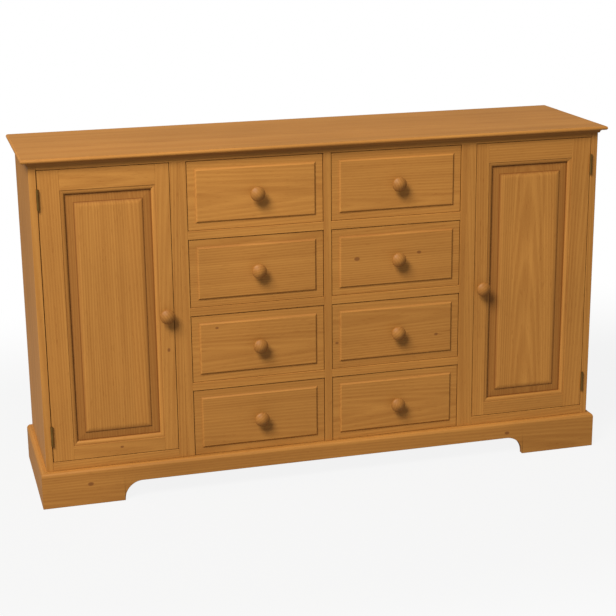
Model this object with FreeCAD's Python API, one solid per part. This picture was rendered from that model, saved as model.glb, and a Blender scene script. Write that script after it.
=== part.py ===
import FreeCAD, Part
import math
import os

# Pine dresser: a panelled cupboard at each end and two columns of drawers between them, on a shaped plinth.
# Millimetres, +X right, +Y back, +Z up, as seen by someone who stands in front of it.
# Shapes are drawn with x = 0 on the middle, y = 0 on the face of the carcass and z = 0 on the floor.
# save() then moves them back to front, so that the origin is the middle of the whole object's footprint.

Vector = FreeCAD.Vector

# Driving dimensions: the whole
TOP_LENGTH = 1524.0
OVERALL_HEIGHT = 895.0
CARCASS_DEPTH = 360.0

# Driving dimensions: top board
TOP_THICKNESS = 18.0
TOP_SIDE_OVERHANG = 19.0
TOP_FRONT_OVERHANG = 19.0
TOP_BACK_OVERHANG = 15.0
TOP_NOSE_HEIGHT = 10.0
TOP_COVE_RADIUS = 8.0
TOP_COVE_STEP = 2.5

# Driving dimensions: carcass
SIDE_THICKNESS = 18.0
PARTITION_THICKNESS = 20.0
FLOOR_THICKNESS = 20.0
BACK_THICKNESS = 8.0
BACK_BOARDS = 12
BACK_LAP = 6.0
BACK_REBATE = 9.0
HOUSING_DEPTH = 5.0
HEADER_HEIGHT = 11.0
HEADER_DEPTH = 45.0
STRIP_WIDTH = 21.0
STRIP_DEPTH = 22.0
SILL_HEIGHT = 23.0
DOOR_BAY_WIDTH = 323.0
SHELF_THICKNESS = 18.0
SHELF_SETBACK = 8.0
BATTEN_SIZE = 20.0

# Driving dimensions: plinth
PLINTH_HEIGHT = 95.0
PLINTH_THICKNESS = 15.0
PLINTH_ROUND = 10.0
FOOT_WIDTH = 210.0
ARCH_HEIGHT = 50.0
ARCH_RADIUS = 46.0
BLOCK_SIZE = 30.0

# Driving dimensions: doors
DOOR_THICKNESS = 20.0
DOOR_GAP = 1.5
LOCK_STILE_FACE = 34.5
HINGE_STILE_FACE = 52.5
TOP_RAIL_FACE = 51.0
BOTTOM_RAIL_FACE = 36.5
MOULDING_WIDTH = 11.0
MOULDING_DEPTH = 7.0
MOULDING_STEP = 1.2
GROOVE_WIDTH = 6.0
GROOVE_DEPTH = 9.0
TENON_LENGTH = 28.0
TENON_SHOULDER = 9.0
PANEL_BEVEL = 20.0
PANEL_RISE = 1.5
PANEL_STEP = 1.5
PANEL_SHOULDER = 13.0
PANEL_CROWN = 2.5
PANEL_BACK = 2.0
DOOR_KNOB_INSET = 19.0
DOOR_KNOB_DROP = 12.0

# Driving dimensions: drawers
DRAWER_ROWS = 4
DRAWER_RAIL_HEIGHT = 22.0
DRAWER_RAIL_DEPTH = 45.0
RAIL_SHOULDER = 6.0
RUNNER_WIDTH = 22.0
FRONT_THICKNESS = 18.0
FRONT_SETBACK = 2.0
FIELD_BORDER = 18.5
FIELD_RISE = 4.0
FIELD_SLOPE = 4.5
DRAWER_GAP = 1.5
DRAWER_TOP_ROOM = 5.0
DRAWER_BACK_ROOM = 12.0
DRAWER_SIDE = 12.0
DRAWER_BACK_DROP = 8.0
DRAWER_BOTTOM = 6.0
DRAWER_BOTTOM_RISE = 10.0
TAIL_COUNT = 4
TAIL_SHARE = 0.36
TAIL_DEPTH = 12.0
TAIL_FLARE = 3.0
STOP_HEIGHT = 6.0
STOP_WIDTH = 34.0
STOP_INSET = 40.0

# Driving dimensions: knobs and ironmongery
KNOB_RADIUS = 19.0
KNOB_LENGTH = 30.0
KNOB_NECK_RADIUS = 7.5
KNOB_NECK_AT = 8.5
KNOB_NECK_BOW = 0.9
KNOB_FLARE_BOW = 1.6
KNOB_FOOT_RADIUS = 10.5
KNOB_FOOT_HEIGHT = 2.0
KNOB_RIM_AT = 18.5
KNOB_RIM_HALF = 4.0
KNOB_RIM_ROUND = 1.5
SPIGOT_RADIUS = 5.0
SPIGOT_LENGTH = 13.0
HINGE_HEIGHT = 50.0
HINGE_INSET = 45.0
LEAF_WIDTH = 17.0
LEAF_THICKNESS = 1.2
BARREL_RADIUS = 3.2
PIN_RADIUS = 1.6
PIN_HEAD = 1.0
SCREW_RADIUS = 1.5
SCREW_HEAD_RADIUS = 2.6
SCREW_LENGTH = 14.0
SCREW_SPREAD = 0.32
CATCH_WIDTH = 30.0
CATCH_DEPTH = 14.0
CATCH_HEIGHT = 12.0
STRIKE_THICKNESS = 1.0

# Clearances
GLUE_FIT = 0.1
RUNNING_FIT = 0.3
PIN_FIT = 0.05
PANEL_PLAY = 1.0

# Planes that the dimensions above fix
CARCASS_HALF = TOP_LENGTH / 2 - TOP_SIDE_OVERHANG
SIDE_INNER = CARCASS_HALF - SIDE_THICKNESS
BAY_OUTER = SIDE_INNER
BAY_INNER = BAY_OUTER - DOOR_BAY_WIDTH
PARTITION_OUTER = BAY_INNER - STRIP_WIDTH
PARTITION_INNER = PARTITION_OUTER - PARTITION_THICKNESS
CENTRE_HALF = PARTITION_THICKNESS / 2
BACK_INNER = CARCASS_DEPTH - BACK_THICKNESS
TOP_UNDER = OVERALL_HEIGHT - TOP_THICKNESS
HEADER_UNDER = TOP_UNDER - HEADER_HEIGHT
FLOOR_TOP = PLINTH_HEIGHT
FLOOR_UNDER = FLOOR_TOP - FLOOR_THICKNESS
SILL_TOP = FLOOR_TOP + SILL_HEIGHT
ROW_HEIGHT = (HEADER_UNDER - FLOOR_TOP - (DRAWER_ROWS - 1) * DRAWER_RAIL_HEIGHT) / DRAWER_ROWS
FRONT_BACK = FRONT_SETBACK + FRONT_THICKNESS
FIELD_FACE = FRONT_SETBACK - FIELD_RISE
BARREL_Y = -(BARREL_RADIUS + RUNNING_FIT)
PIN_X = BAY_OUTER - DOOR_GAP / 2
SHELF_TOP = (SILL_TOP + HEADER_UNDER + SHELF_THICKNESS) / 2
FRONT_REACH = KNOB_LENGTH - min(FIELD_FACE, 0.0)
BACK_REACH = CARCASS_DEPTH + TOP_BACK_OVERHANG
SHIFT = (FRONT_REACH - BACK_REACH) / 2


def box(x0, x1, y0, y1, z0, z1):
    """A block between two opposite corners."""
    return Part.makeBox(x1 - x0, y1 - y0, z1 - z0, Vector(x0, y0, z0))


def place(point, along, at):
    """The point (a, b) of a section, on the plane across one axis."""
    a, b = point
    return {"x": Vector(at, a, b), "y": Vector(a, at, b), "z": Vector(a, b, at)}[along]


def section(steps, along, start, end):
    """A solid carried along one axis. A step is a corner, or a pair: a point on an arc and the arc's end."""
    edges = []
    here = steps[0]
    for step in steps[1:] + steps[:1]:
        if isinstance(step[0], tuple):
            arc = Part.Arc(*(place(p, along, start) for p in (here, step[0], step[1])))
            edges.append(arc.toShape())
            here = step[1]
        elif step != here:
            edges.append(Part.makeLine(place(here, along, start), place(step, along, start)))
            here = step
    face = Part.Face(Part.Wire(edges))
    return face.extrude(place((0, 0), along, end) - place((0, 0), along, start))


def quarter(centre, radius, angle):
    """The point of a circle at one angle, in degrees."""
    turn = math.radians(angle)
    return (centre[0] + radius * math.cos(turn), centre[1] + radius * math.sin(turn))


def turned(steps, centre, axis):
    """A solid of revolution. steps are (radius, distance along the axis) pairs, with arcs as in section()."""
    half = section(steps, "z", 0, 1).Faces
    flat = min(half, key=lambda face: face.CenterOfMass.z)
    solid = flat.revolve(Vector(0, 0, 0), Vector(0, 1, 0), 360)
    if solid.Volume < 0:
        solid.reverse()
    turn = FreeCAD.Rotation(Vector(0, 1, 0), axis)
    solid.Placement = FreeCAD.Placement(centre, turn)
    return solid


def frustum(rect, slope, y_base, y_top):
    """A rectangle (x0, x1, z0, z1) at y_base that shrinks by slope on each side towards y_top."""
    rings = []
    for y, shrink in ((y_base, 0.0), (y_top, slope)):
        x0, x1 = rect[0] + shrink, rect[1] - shrink
        z0, z1 = rect[2] + shrink, rect[3] - shrink
        corners = [Vector(x0, y, z0), Vector(x1, y, z0), Vector(x1, y, z1), Vector(x0, y, z1)]
        rings.append(Part.makePolygon(corners + corners[:1]))
    return Part.makeLoft(rings, True, True)


def inset(rect, amount):
    """A rectangle (x0, x1, z0, z1), smaller by one amount on every side."""
    return (rect[0] + amount, rect[1] - amount, rect[2] + amount, rect[3] - amount)


def slab(rect, y0, y1):
    """A rectangle (x0, x1, z0, z1) with a thickness from y0 to y1."""
    return box(rect[0], rect[1], y0, y1, rect[2], rect[3])


def mirrored(shape):
    """The same shape on the other side of the middle."""
    return shape.mirror(Vector(0, 0, 0), Vector(1, 0, 0))


def both(shapes):
    """Shapes of the right-hand side, with their mirror images."""
    return list(shapes) + [mirrored(shape) for shape in shapes]


def fused(shapes):
    """One solid from shapes that overlap or touch."""
    return shapes[0].multiFuse(shapes[1:]).removeSplitter()


def save(node, shapes):
    """Write a node, moved so that the origin is under the middle of the whole."""
    whole = Part.makeCompound(shapes) if len(shapes) > 1 else shapes[0].copy()
    whole.translate(Vector(0, SHIFT, 0))
    whole.exportStep("parts/" + node + ".step")


# Top and carcass


def top_edge():
    """The waste outside the moulded edge: a bullnose, a step and a cove, measured inwards from the nose."""
    nose = TOP_NOSE_HEIGHT / 2
    middle = OVERALL_HEIGHT - nose
    shoulder = OVERALL_HEIGHT - TOP_NOSE_HEIGHT
    cove = (nose + TOP_COVE_STEP, shoulder - TOP_COVE_RADIUS)
    low = min(TOP_UNDER, cove[1]) - nose
    return [
        (-nose, OVERALL_HEIGHT + nose), (nose, OVERALL_HEIGHT + nose), (nose, OVERALL_HEIGHT),
        (quarter((nose, middle), nose, 135), (0.0, middle)),
        (quarter((nose, middle), nose, 225), (nose, shoulder)),
        (cove[0], shoulder),
        (quarter(cove, TOP_COVE_RADIUS, 45), (cove[0] + TOP_COVE_RADIUS, cove[1])),
        (cove[0] + TOP_COVE_RADIUS, low), (-nose, low),
    ]


def top_board():
    """A board whose front and ends are moulded, mitred at the corners."""
    end = TOP_LENGTH / 2
    past = TOP_NOSE_HEIGHT
    board = box(-end, end, -TOP_FRONT_OVERHANG, BACK_REACH, TOP_UNDER, OVERALL_HEIGHT)
    front = section([shifted(step, -TOP_FRONT_OVERHANG) for step in top_edge()], "x", -end - past, end + past)
    side = section([shifted(step, -end) for step in top_edge()], "y", -TOP_FRONT_OVERHANG - past, BACK_REACH + past)
    return board.cut(side).cut(mirrored(side)).cut(front)


def shifted(step, amount):
    """A step of a section, moved along its first coordinate."""
    if isinstance(step[0], tuple):
        return tuple((a + amount, b) for a, b in step)
    return (step[0] + amount, step[1])


def rail_levels():
    """The underside of each rail between two drawers, from the lowest to the highest."""
    pitch = ROW_HEIGHT + DRAWER_RAIL_HEIGHT
    return [FLOOR_TOP + ROW_HEIGHT + row * pitch for row in range(DRAWER_ROWS - 1)]


def rail_tenon(x0, x1, z0, clearance):
    """The stub of a drawer rail, or its mortise when it has a clearance."""
    y1 = DRAWER_RAIL_DEPTH - RAIL_SHOULDER + clearance
    low, high = z0 + RAIL_SHOULDER - clearance, z0 + DRAWER_RAIL_HEIGHT - RAIL_SHOULDER + clearance
    return box(x0 - clearance, x1 + clearance, RAIL_SHOULDER - clearance, y1, low, high)


def side_board():
    """The right-hand side: a rebate for the back, a housing for the floor, beds and holes for the hinges."""
    board = box(SIDE_INNER, CARCASS_HALF, 0, CARCASS_DEPTH, 0, TOP_UNDER)
    rebate = box(SIDE_INNER, SIDE_INNER + BACK_REBATE, BACK_INNER, CARCASS_DEPTH, FLOOR_UNDER, TOP_UNDER)
    housing = box(SIDE_INNER, SIDE_INNER + HOUSING_DEPTH, 0, BACK_INNER, FLOOR_UNDER, FLOOR_TOP)
    return board.cut([rebate, housing] + hinge_seats(1))


def partition(x0, x1, sides):
    """A board between two bays, let into the floor, with mortises for the drawer rails on the named sides."""
    board = box(x0, x1, 0, BACK_INNER, FLOOR_TOP - HOUSING_DEPTH, TOP_UNDER)
    cuts = [box(x0, x1, 0, HEADER_DEPTH, HEADER_UNDER, TOP_UNDER)]
    for z0 in rail_levels():
        if "low" in sides:
            cuts.append(rail_tenon(x0, x0 + HOUSING_DEPTH, z0, GLUE_FIT))
        if "high" in sides:
            cuts.append(rail_tenon(x1 - HOUSING_DEPTH, x1, z0, GLUE_FIT))
    return board.cut(cuts)


def floor_board():
    """The carcass floor, housed in the sides and grooved for the partitions."""
    reach = SIDE_INNER + HOUSING_DEPTH - GLUE_FIT
    board = box(-reach, reach, 0, BACK_INNER, FLOOR_UNDER, FLOOR_TOP)
    grooves = [box(x0, x1, 0, BACK_INNER, FLOOR_TOP - HOUSING_DEPTH, FLOOR_TOP) for x0, x1 in partition_spans()]
    return board.cut(grooves)


def partition_spans():
    """The left, middle and right partition, as pairs of x."""
    return [(-PARTITION_OUTER, -PARTITION_INNER), (-CENTRE_HALF, CENTRE_HALF), (PARTITION_INNER, PARTITION_OUTER)]


def back_boards():
    """Upright half-lapped boards in the rebates of the sides."""
    reach = SIDE_INNER + BACK_REBATE - GLUE_FIT
    pitch = 2 * reach / BACK_BOARDS
    middle = (BACK_INNER + CARCASS_DEPTH) / 2
    boards = []
    for number in range(BACK_BOARDS):
        x0 = -reach + number * pitch
        x1 = x0 + pitch
        lap_in = x0 if number == 0 else x0 + GLUE_FIT
        lap_out = x1 if number == BACK_BOARDS - 1 else x1 + BACK_LAP
        outline = [(x0 + (BACK_LAP + GLUE_FIT if number else 0), BACK_INNER), (lap_out, BACK_INNER),
                   (lap_out, middle - GLUE_FIT / 2), (x1, middle - GLUE_FIT / 2), (x1, CARCASS_DEPTH),
                   (lap_in, CARCASS_DEPTH), (lap_in, middle + GLUE_FIT / 2),
                   (x0 + (BACK_LAP + GLUE_FIT if number else 0), middle + GLUE_FIT / 2)]
        if number == 0:
            outline = outline[:6]
        if number == BACK_BOARDS - 1:
            outline = [outline[0], outline[1], (x1, CARCASS_DEPTH)] + outline[5:]
        boards.append(section(outline, "z", FLOOR_UNDER, TOP_UNDER))
    return boards


def door_strips():
    """The upright strips beside the partitions, which the lock stiles of the doors close against."""
    return both([box(PARTITION_OUTER, BAY_INNER, 0, STRIP_DEPTH, FLOOR_TOP, HEADER_UNDER)])


def drawer_rails():
    """The rails between the drawers, each with a stub at both ends."""
    rails = []
    for z0 in rail_levels():
        rail = box(CENTRE_HALF, PARTITION_INNER, 0, DRAWER_RAIL_DEPTH, z0, z0 + DRAWER_RAIL_HEIGHT)
        low = rail_tenon(CENTRE_HALF - HOUSING_DEPTH + GLUE_FIT, CENTRE_HALF, z0, 0)
        high = rail_tenon(PARTITION_INNER, PARTITION_INNER + HOUSING_DEPTH - GLUE_FIT, z0, 0)
        rails.append(fused([rail, low, high]))
    return both(rails)


def drawer_runners():
    """Runners behind the rails, and kickers under the top that stop an open drawer tipping."""
    strips = []
    bands = [(z0, z0 + DRAWER_RAIL_HEIGHT, DRAWER_RAIL_DEPTH) for z0 in rail_levels()]
    bands.append((HEADER_UNDER, TOP_UNDER, HEADER_DEPTH))
    for z0, z1, y0 in bands:
        strips.append(box(CENTRE_HALF, CENTRE_HALF + RUNNER_WIDTH, y0, BACK_INNER, z0, z1))
        strips.append(box(PARTITION_INNER - RUNNER_WIDTH, PARTITION_INNER, y0, BACK_INNER, z0, z1))
    return both(strips)


def drawer_stops():
    """Blocks that a closed drawer front comes to rest against."""
    y0 = FRONT_BACK + RUNNING_FIT
    y1 = DRAWER_RAIL_DEPTH - RUNNING_FIT
    blocks = []
    for z0 in drawer_floors():
        for x0 in (CENTRE_HALF + STOP_INSET, PARTITION_INNER - STOP_INSET - STOP_WIDTH):
            blocks.append(box(x0, x0 + STOP_WIDTH, y0, y1, z0, z0 + STOP_HEIGHT))
    return both(blocks)


def drawer_floors():
    """The height that each drawer slides on, from the lowest row to the highest."""
    return [FLOOR_TOP] + [z0 + DRAWER_RAIL_HEIGHT for z0 in rail_levels()]


def plinth_mitre(x_face):
    """The waste beyond the right-hand mitre of the plinth, on the side of the front or of the end board."""
    out = CARCASS_HALF + PLINTH_THICKNESS
    corner = [(out, -PLINTH_THICKNESS), (CARCASS_HALF, 0.0)]
    waste = {"front": [(out, 0.0)], "end": [(CARCASS_HALF, -PLINTH_THICKNESS)]}[x_face]
    return section(corner + waste, "z", 0, PLINTH_HEIGHT)


def round_over(face):
    """The waste outside the rounded top edge, as a section whose first coordinate grows away from the board."""
    inner = face - PLINTH_ROUND
    start = PLINTH_HEIGHT - PLINTH_ROUND
    return [(inner, PLINTH_HEIGHT), (quarter((inner, start), PLINTH_ROUND, 45), (face, start)),
            (face + 1, start), (face + 1, PLINTH_HEIGHT + 1), (inner, PLINTH_HEIGHT + 1)]


def plinth_front():
    """The front board, with a long low arch between its two feet."""
    out = CARCASS_HALF + PLINTH_THICKNESS
    board = box(-out, out, -PLINTH_THICKNESS, 0, 0, PLINTH_HEIGHT)
    half = out - FOOT_WIDTH
    low = ARCH_HEIGHT - ARCH_RADIUS
    bend = half - ARCH_RADIUS
    arch = section(
        [(-half, -1.0), (half, -1.0), (half, low),
         (quarter((bend, low), ARCH_RADIUS, 45), (bend, ARCH_HEIGHT)), (-bend, ARCH_HEIGHT),
         (quarter((-bend, low), ARCH_RADIUS, 135), (-half, low))],
        "y", -PLINTH_THICKNESS - 1, 1)
    edge = section([flipped(step) for step in round_over(PLINTH_THICKNESS)], "x", -out, out)
    ends = section(round_over(out), "y", -PLINTH_THICKNESS, 0)
    return board.cut([arch, edge, ends, mirrored(ends)] + both([plinth_mitre("front")]))


def flipped(step):
    """A step of a section, with its first coordinate turned round."""
    if isinstance(step[0], tuple):
        return tuple((-a, b) for a, b in step)
    return (-step[0], step[1])


def plinth_end():
    """The right-hand end board of the plinth."""
    out = CARCASS_HALF + PLINTH_THICKNESS
    board = box(CARCASS_HALF, out, -PLINTH_THICKNESS, CARCASS_DEPTH, 0, PLINTH_HEIGHT)
    edge = section([flipped(step) for step in round_over(PLINTH_THICKNESS)], "x", CARCASS_HALF, out)
    end = section(round_over(out), "y", -PLINTH_THICKNESS, CARCASS_DEPTH)
    return board.cut([edge, end, plinth_mitre("end")])


def plinth_blocks():
    """Glue blocks behind the front board: one in each corner and three above the arch."""
    corner = box(SIDE_INNER - BLOCK_SIZE, SIDE_INNER, 0, BLOCK_SIZE, 0, FLOOR_UNDER)
    third = SIDE_INNER / 3
    above = [box(x - BLOCK_SIZE, x + BLOCK_SIZE, 0, BLOCK_SIZE, ARCH_HEIGHT + RUNNING_FIT, FLOOR_UNDER)
             for x in (-third, 0, third)]
    return both([corner]) + above


def shelves():
    """One shelf in each cupboard."""
    y0 = STRIP_DEPTH + SHELF_SETBACK
    board = box(PARTITION_OUTER + PANEL_PLAY, SIDE_INNER - PANEL_PLAY, y0, BACK_INNER - PANEL_PLAY,
                SHELF_TOP - SHELF_THICKNESS, SHELF_TOP)
    return both([board])


def shelf_battens():
    """The battens under both ends of each shelf."""
    y0 = STRIP_DEPTH + 2 * SHELF_SETBACK
    z1 = SHELF_TOP - SHELF_THICKNESS
    spans = [(PARTITION_OUTER, PARTITION_OUTER + BATTEN_SIZE), (SIDE_INNER - BATTEN_SIZE, SIDE_INNER)]
    return both([box(x0, x1, y0, BACK_INNER, z1 - BATTEN_SIZE, z1) for x0, x1 in spans])


# Doors and their hinges: everything below is the right-hand door, which hinges at its right


def door_rect():
    """The outline of the right-hand door: x0, x1, z0, z1."""
    return inset((BAY_INNER, BAY_OUTER, SILL_TOP, HEADER_UNDER), DOOR_GAP)


def door_sight():
    """The rectangle inside the flat faces of the door frame, where its moulding starts."""
    x0, x1, z0, z1 = door_rect()
    return (x0 + LOCK_STILE_FACE, x1 - HINGE_STILE_FACE, z0 + BOTTOM_RAIL_FACE, z1 - TOP_RAIL_FACE)


def moulded_opening():
    """The hole in the door frame: a step, then a hollow-fronted ovolo that runs down to the panel."""
    sight = door_sight()
    cuts = [slab(sight, -1, MOULDING_STEP)]
    turns = 4
    for turn in range(turns):
        low = math.radians(90 * turn / turns)
        high = math.radians(90 * (turn + 1) / turns)
        fall = MOULDING_DEPTH - MOULDING_STEP
        y0 = MOULDING_STEP + fall * (1 - math.cos(low))
        y1 = MOULDING_STEP + fall * (1 - math.cos(high))
        start = MOULDING_STEP + (MOULDING_WIDTH - MOULDING_STEP) * math.sin(low)
        end = MOULDING_STEP + (MOULDING_WIDTH - MOULDING_STEP) * math.sin(high)
        cuts.append(frustum(inset(sight, start), end - start, y0, y1))
    cuts.append(slab(inset(sight, MOULDING_WIDTH), 0, DOOR_THICKNESS + 1))
    return cuts


def panel_groove():
    """The groove round the inside of the door frame."""
    y0 = MOULDING_DEPTH + GLUE_FIT
    return slab(inset(door_sight(), MOULDING_WIDTH - GROOVE_DEPTH), y0 + 1, y0 + 1 + GROOVE_WIDTH)


def stile_zone(side):
    """The part of the door frame that belongs to one stile, mitred along the moulding."""
    x0, x1, z0, z1 = door_rect()
    s0, s1, t0, t1 = door_sight()
    depth = MOULDING_WIDTH
    if side == "lock":
        outline = [(x0, z0), (s0, z0), (s0, t0), (s0 + depth, t0 + depth), (s0 + depth, t1 - depth), (s0, t1),
                   (s0, z1), (x0, z1)]
    else:
        outline = [(x1, z0), (s1, z0), (s1, t0), (s1 - depth, t0 + depth), (s1 - depth, t1 - depth), (s1, t1),
                   (s1, z1), (x1, z1)]
    return section(outline, "y", 0, DOOR_THICKNESS)


def door_tenons(clearance):
    """The four tenons of the door rails, or their mortises when they have a clearance."""
    x0, x1, z0, z1 = door_rect()
    s0, s1, t0, t1 = door_sight()
    y0 = MOULDING_DEPTH + GLUE_FIT + 1 - clearance
    y1 = y0 + GROOVE_WIDTH + 2 * clearance
    near = TENON_SHOULDER / 2
    tenons = []
    for low, high in ((z0 + TENON_SHOULDER, t0 - near), (t1 + near, z1 - TENON_SHOULDER)):
        for a, b in ((s0 - TENON_LENGTH, s0), (s1, s1 + TENON_LENGTH)):
            tenons.append(box(a - clearance, b + clearance, y0, y1, low - clearance, high + clearance))
    return tenons


def door_frame():
    """The two stiles and two rails of the right-hand door, by name."""
    ring = slab(door_rect(), 0, DOOR_THICKNESS).cut(moulded_opening() + [panel_groove()])
    lock_zone = stile_zone("lock")
    hinge_zone = stile_zone("hinge")
    middle = (SILL_TOP + HEADER_UNDER) / 2
    rest = ring.cut([lock_zone, hinge_zone])
    tenons = door_tenons(0.0)
    rails = {"bottom_rail": [], "top_rail": []}
    for solid in rest.Solids + tenons:
        name = "bottom_rail" if solid.CenterOfMass.z < middle else "top_rail"
        rails[name].append(solid)
    x0 = door_rect()[0]
    knob_hole = spigot_hole(x0 + DOOR_KNOB_INSET, 0.0, door_knob_height())
    mortises = door_tenons(GLUE_FIT)
    frame = {name: fused(shapes) for name, shapes in rails.items()}
    frame["lock_stile"] = ring.common(lock_zone).cut(mortises + [knob_hole])
    frame["hinge_stile"] = ring.common(hinge_zone).cut(mortises + hinge_seats(-1))
    return frame


def door_panel():
    """The panel, with play for movement in its groove: a low bevel, a step and a field with sloped shoulders."""
    sight = door_sight()
    y0 = MOULDING_DEPTH + 1 + 2 * GLUE_FIT
    y1 = y0 + GROOVE_WIDTH - 2 * GLUE_FIT
    opening = inset(sight, MOULDING_WIDTH)
    tongue = slab(inset(opening, PANEL_PLAY - GROOVE_DEPTH), y0, y1)
    bevel = frustum(inset(opening, PANEL_PLAY), PANEL_BEVEL, y0, y0 - PANEL_RISE)
    raised = inset(opening, PANEL_PLAY + PANEL_BEVEL)
    foot = y0 - PANEL_RISE - PANEL_STEP
    step = slab(raised, foot, y0)
    field = frustum(raised, PANEL_SHOULDER, foot, foot - PANEL_CROWN)
    back = slab(inset(opening, PANEL_PLAY), y1, y1 + PANEL_BACK)
    return fused([tongue, bevel, step, field, back])


def door_knob_height():
    """The height of a door knob's axis."""
    return (SILL_TOP + HEADER_UNDER) / 2 - DOOR_KNOB_DROP


def hinge_levels():
    """The underside of each of the two hinges of a door."""
    z0, z1 = door_rect()[2:]
    return [z0 + HINGE_INSET, z1 - HINGE_INSET - HINGE_HEIGHT]


def leaf_plate(z0, side):
    """One leaf: side 1 is let into the side board and side -1 into the door."""
    face = PIN_X + side * DOOR_GAP / 2
    x0, x1 = sorted((face, face + side * LEAF_THICKNESS))
    return box(x0, x1, BARREL_Y, LEAF_WIDTH, z0, z0 + HINGE_HEIGHT)


def leaf_bed(z0, side):
    """The shallow bed that a leaf lies in."""
    face = PIN_X + side * DOOR_GAP / 2
    x0, x1 = sorted((face, face + side * (LEAF_THICKNESS + GLUE_FIT)))
    return box(x0, x1, -1, LEAF_WIDTH + GLUE_FIT, z0 - GLUE_FIT, z0 + HINGE_HEIGHT + GLUE_FIT)


def screw_spots(z0, side):
    """The three screws of a leaf: centres on the face of the leaf."""
    face = PIN_X + side * DOOR_GAP / 2
    y = LEAF_WIDTH / 2
    return [Vector(face, y, z0 + HINGE_HEIGHT * (0.5 + spread)) for spread in (-SCREW_SPREAD, 0.0, SCREW_SPREAD)]


def screw(spot, side, clearance):
    """A countersunk screw, or the hole for it when it has a clearance."""
    head = SCREW_HEAD_RADIUS + clearance
    shank = SCREW_RADIUS + clearance
    depth = head - shank
    steps = [(0.0, 0.0), (head, 0.0), (shank, depth), (shank, SCREW_LENGTH - shank),
             (0.0, SCREW_LENGTH + clearance)]
    return turned(steps, spot, Vector(side, 0, 0))


def leaf_screw_holes(z0, side):
    """The holes that the screws of one leaf pass through."""
    return [screw(spot, side, GLUE_FIT) for spot in screw_spots(z0, side)]


def hinge_seats(side):
    """What both hinges take out of the piece on one side: the leaves' beds and the screws' holes."""
    return [shape for z0 in hinge_levels() for shape in [leaf_bed(z0, side)] + leaf_screw_holes(z0, side)]


def knuckle(z0, z1, radius):
    """A round piece on the hinge axis."""
    return Part.makeCylinder(radius, z1 - z0, Vector(PIN_X, BARREL_Y, z0))


def hinge_leaf(z0, side):
    """A leaf with its knuckles: the outer two on the side board's leaf, the middle one on the door's."""
    third = HINGE_HEIGHT / 3
    gap = GLUE_FIT
    bands = {1: [(0, third - gap), (2 * third + gap, HINGE_HEIGHT)], -1: [(third + gap, 2 * third - gap)]}
    free = {1: [(third - gap, 2 * third + gap)], -1: [(0, third + gap), (2 * third - gap, HINGE_HEIGHT)]}
    leaf = leaf_plate(z0, side)
    clear = BARREL_RADIUS + RUNNING_FIT / 2
    leaf = leaf.cut([knuckle(z0 + low, z0 + high, clear) for low, high in free[side]])
    leaf = fused([leaf] + [knuckle(z0 + low, z0 + high, BARREL_RADIUS) for low, high in bands[side]])
    bore = knuckle(z0 - 1, z0 + HINGE_HEIGHT + 1, PIN_RADIUS + PIN_FIT)
    return leaf.cut([bore] + leaf_screw_holes(z0, side))


def hinge_pin(z0):
    """The pin, with a head at both ends."""
    pin = knuckle(z0, z0 + HINGE_HEIGHT, PIN_RADIUS)
    heads = [knuckle(z0 - PIN_HEAD, z0, BARREL_RADIUS - GLUE_FIT),
             knuckle(z0 + HINGE_HEIGHT, z0 + HINGE_HEIGHT + PIN_HEAD, BARREL_RADIUS - GLUE_FIT)]
    return fused([pin] + heads)


def fixed_hinges():
    """What the carcass holds of the right-hand hinges: leaves, pins and screws."""
    pieces = []
    for z0 in hinge_levels():
        pieces += [hinge_leaf(z0, 1), hinge_pin(z0)]
        pieces += [screw(spot, 1, 0.0) for spot in screw_spots(z0, 1)]
    return pieces


def door_fittings():
    """What the right-hand door carries: hinge leaves, their screws and the strike plate of its catch."""
    pieces = []
    for z0 in hinge_levels():
        pieces.append(hinge_leaf(z0, -1))
        pieces += [screw(spot, -1, 0.0) for spot in screw_spots(z0, -1)]
    x0, z1 = door_rect()[0], door_rect()[3]
    middle = x0 + LOCK_STILE_FACE / 2
    half = CATCH_WIDTH / 2
    strike = box(middle - half, middle + half, DOOR_THICKNESS, DOOR_THICKNESS + STRIKE_THICKNESS,
                 z1 - CATCH_HEIGHT, z1 - DOOR_GAP)
    return pieces + [strike]


def door_catches():
    """Magnetic catches under the header, which the strike plates close against."""
    middle = door_rect()[0] + LOCK_STILE_FACE / 2
    y0 = DOOR_THICKNESS + STRIKE_THICKNESS + RUNNING_FIT
    half = CATCH_WIDTH / 2
    body = box(middle - half, middle + half, y0, y0 + CATCH_DEPTH, HEADER_UNDER - CATCH_HEIGHT, HEADER_UNDER)
    return both([body])


# Drawers


def spigot_hole(x, y_face, z):
    """The hole that a knob's spigot is glued in."""
    length = SPIGOT_LENGTH + 2 * GLUE_FIT
    return Part.makeCylinder(SPIGOT_RADIUS + GLUE_FIT, length + 1, Vector(x, y_face - 1, z), Vector(0, 1, 0))


def bowed(start, end, bow):
    """An arc from start to end for section(), whose middle stands off to the left of the chord by bow."""
    along = (end[0] - start[0], end[1] - start[1])
    chord = math.hypot(*along)
    middle = ((start[0] + end[0]) / 2, (start[1] + end[1]) / 2)
    return ((middle[0] - bow * along[1] / chord, middle[1] + bow * along[0] / chord), end)


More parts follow.
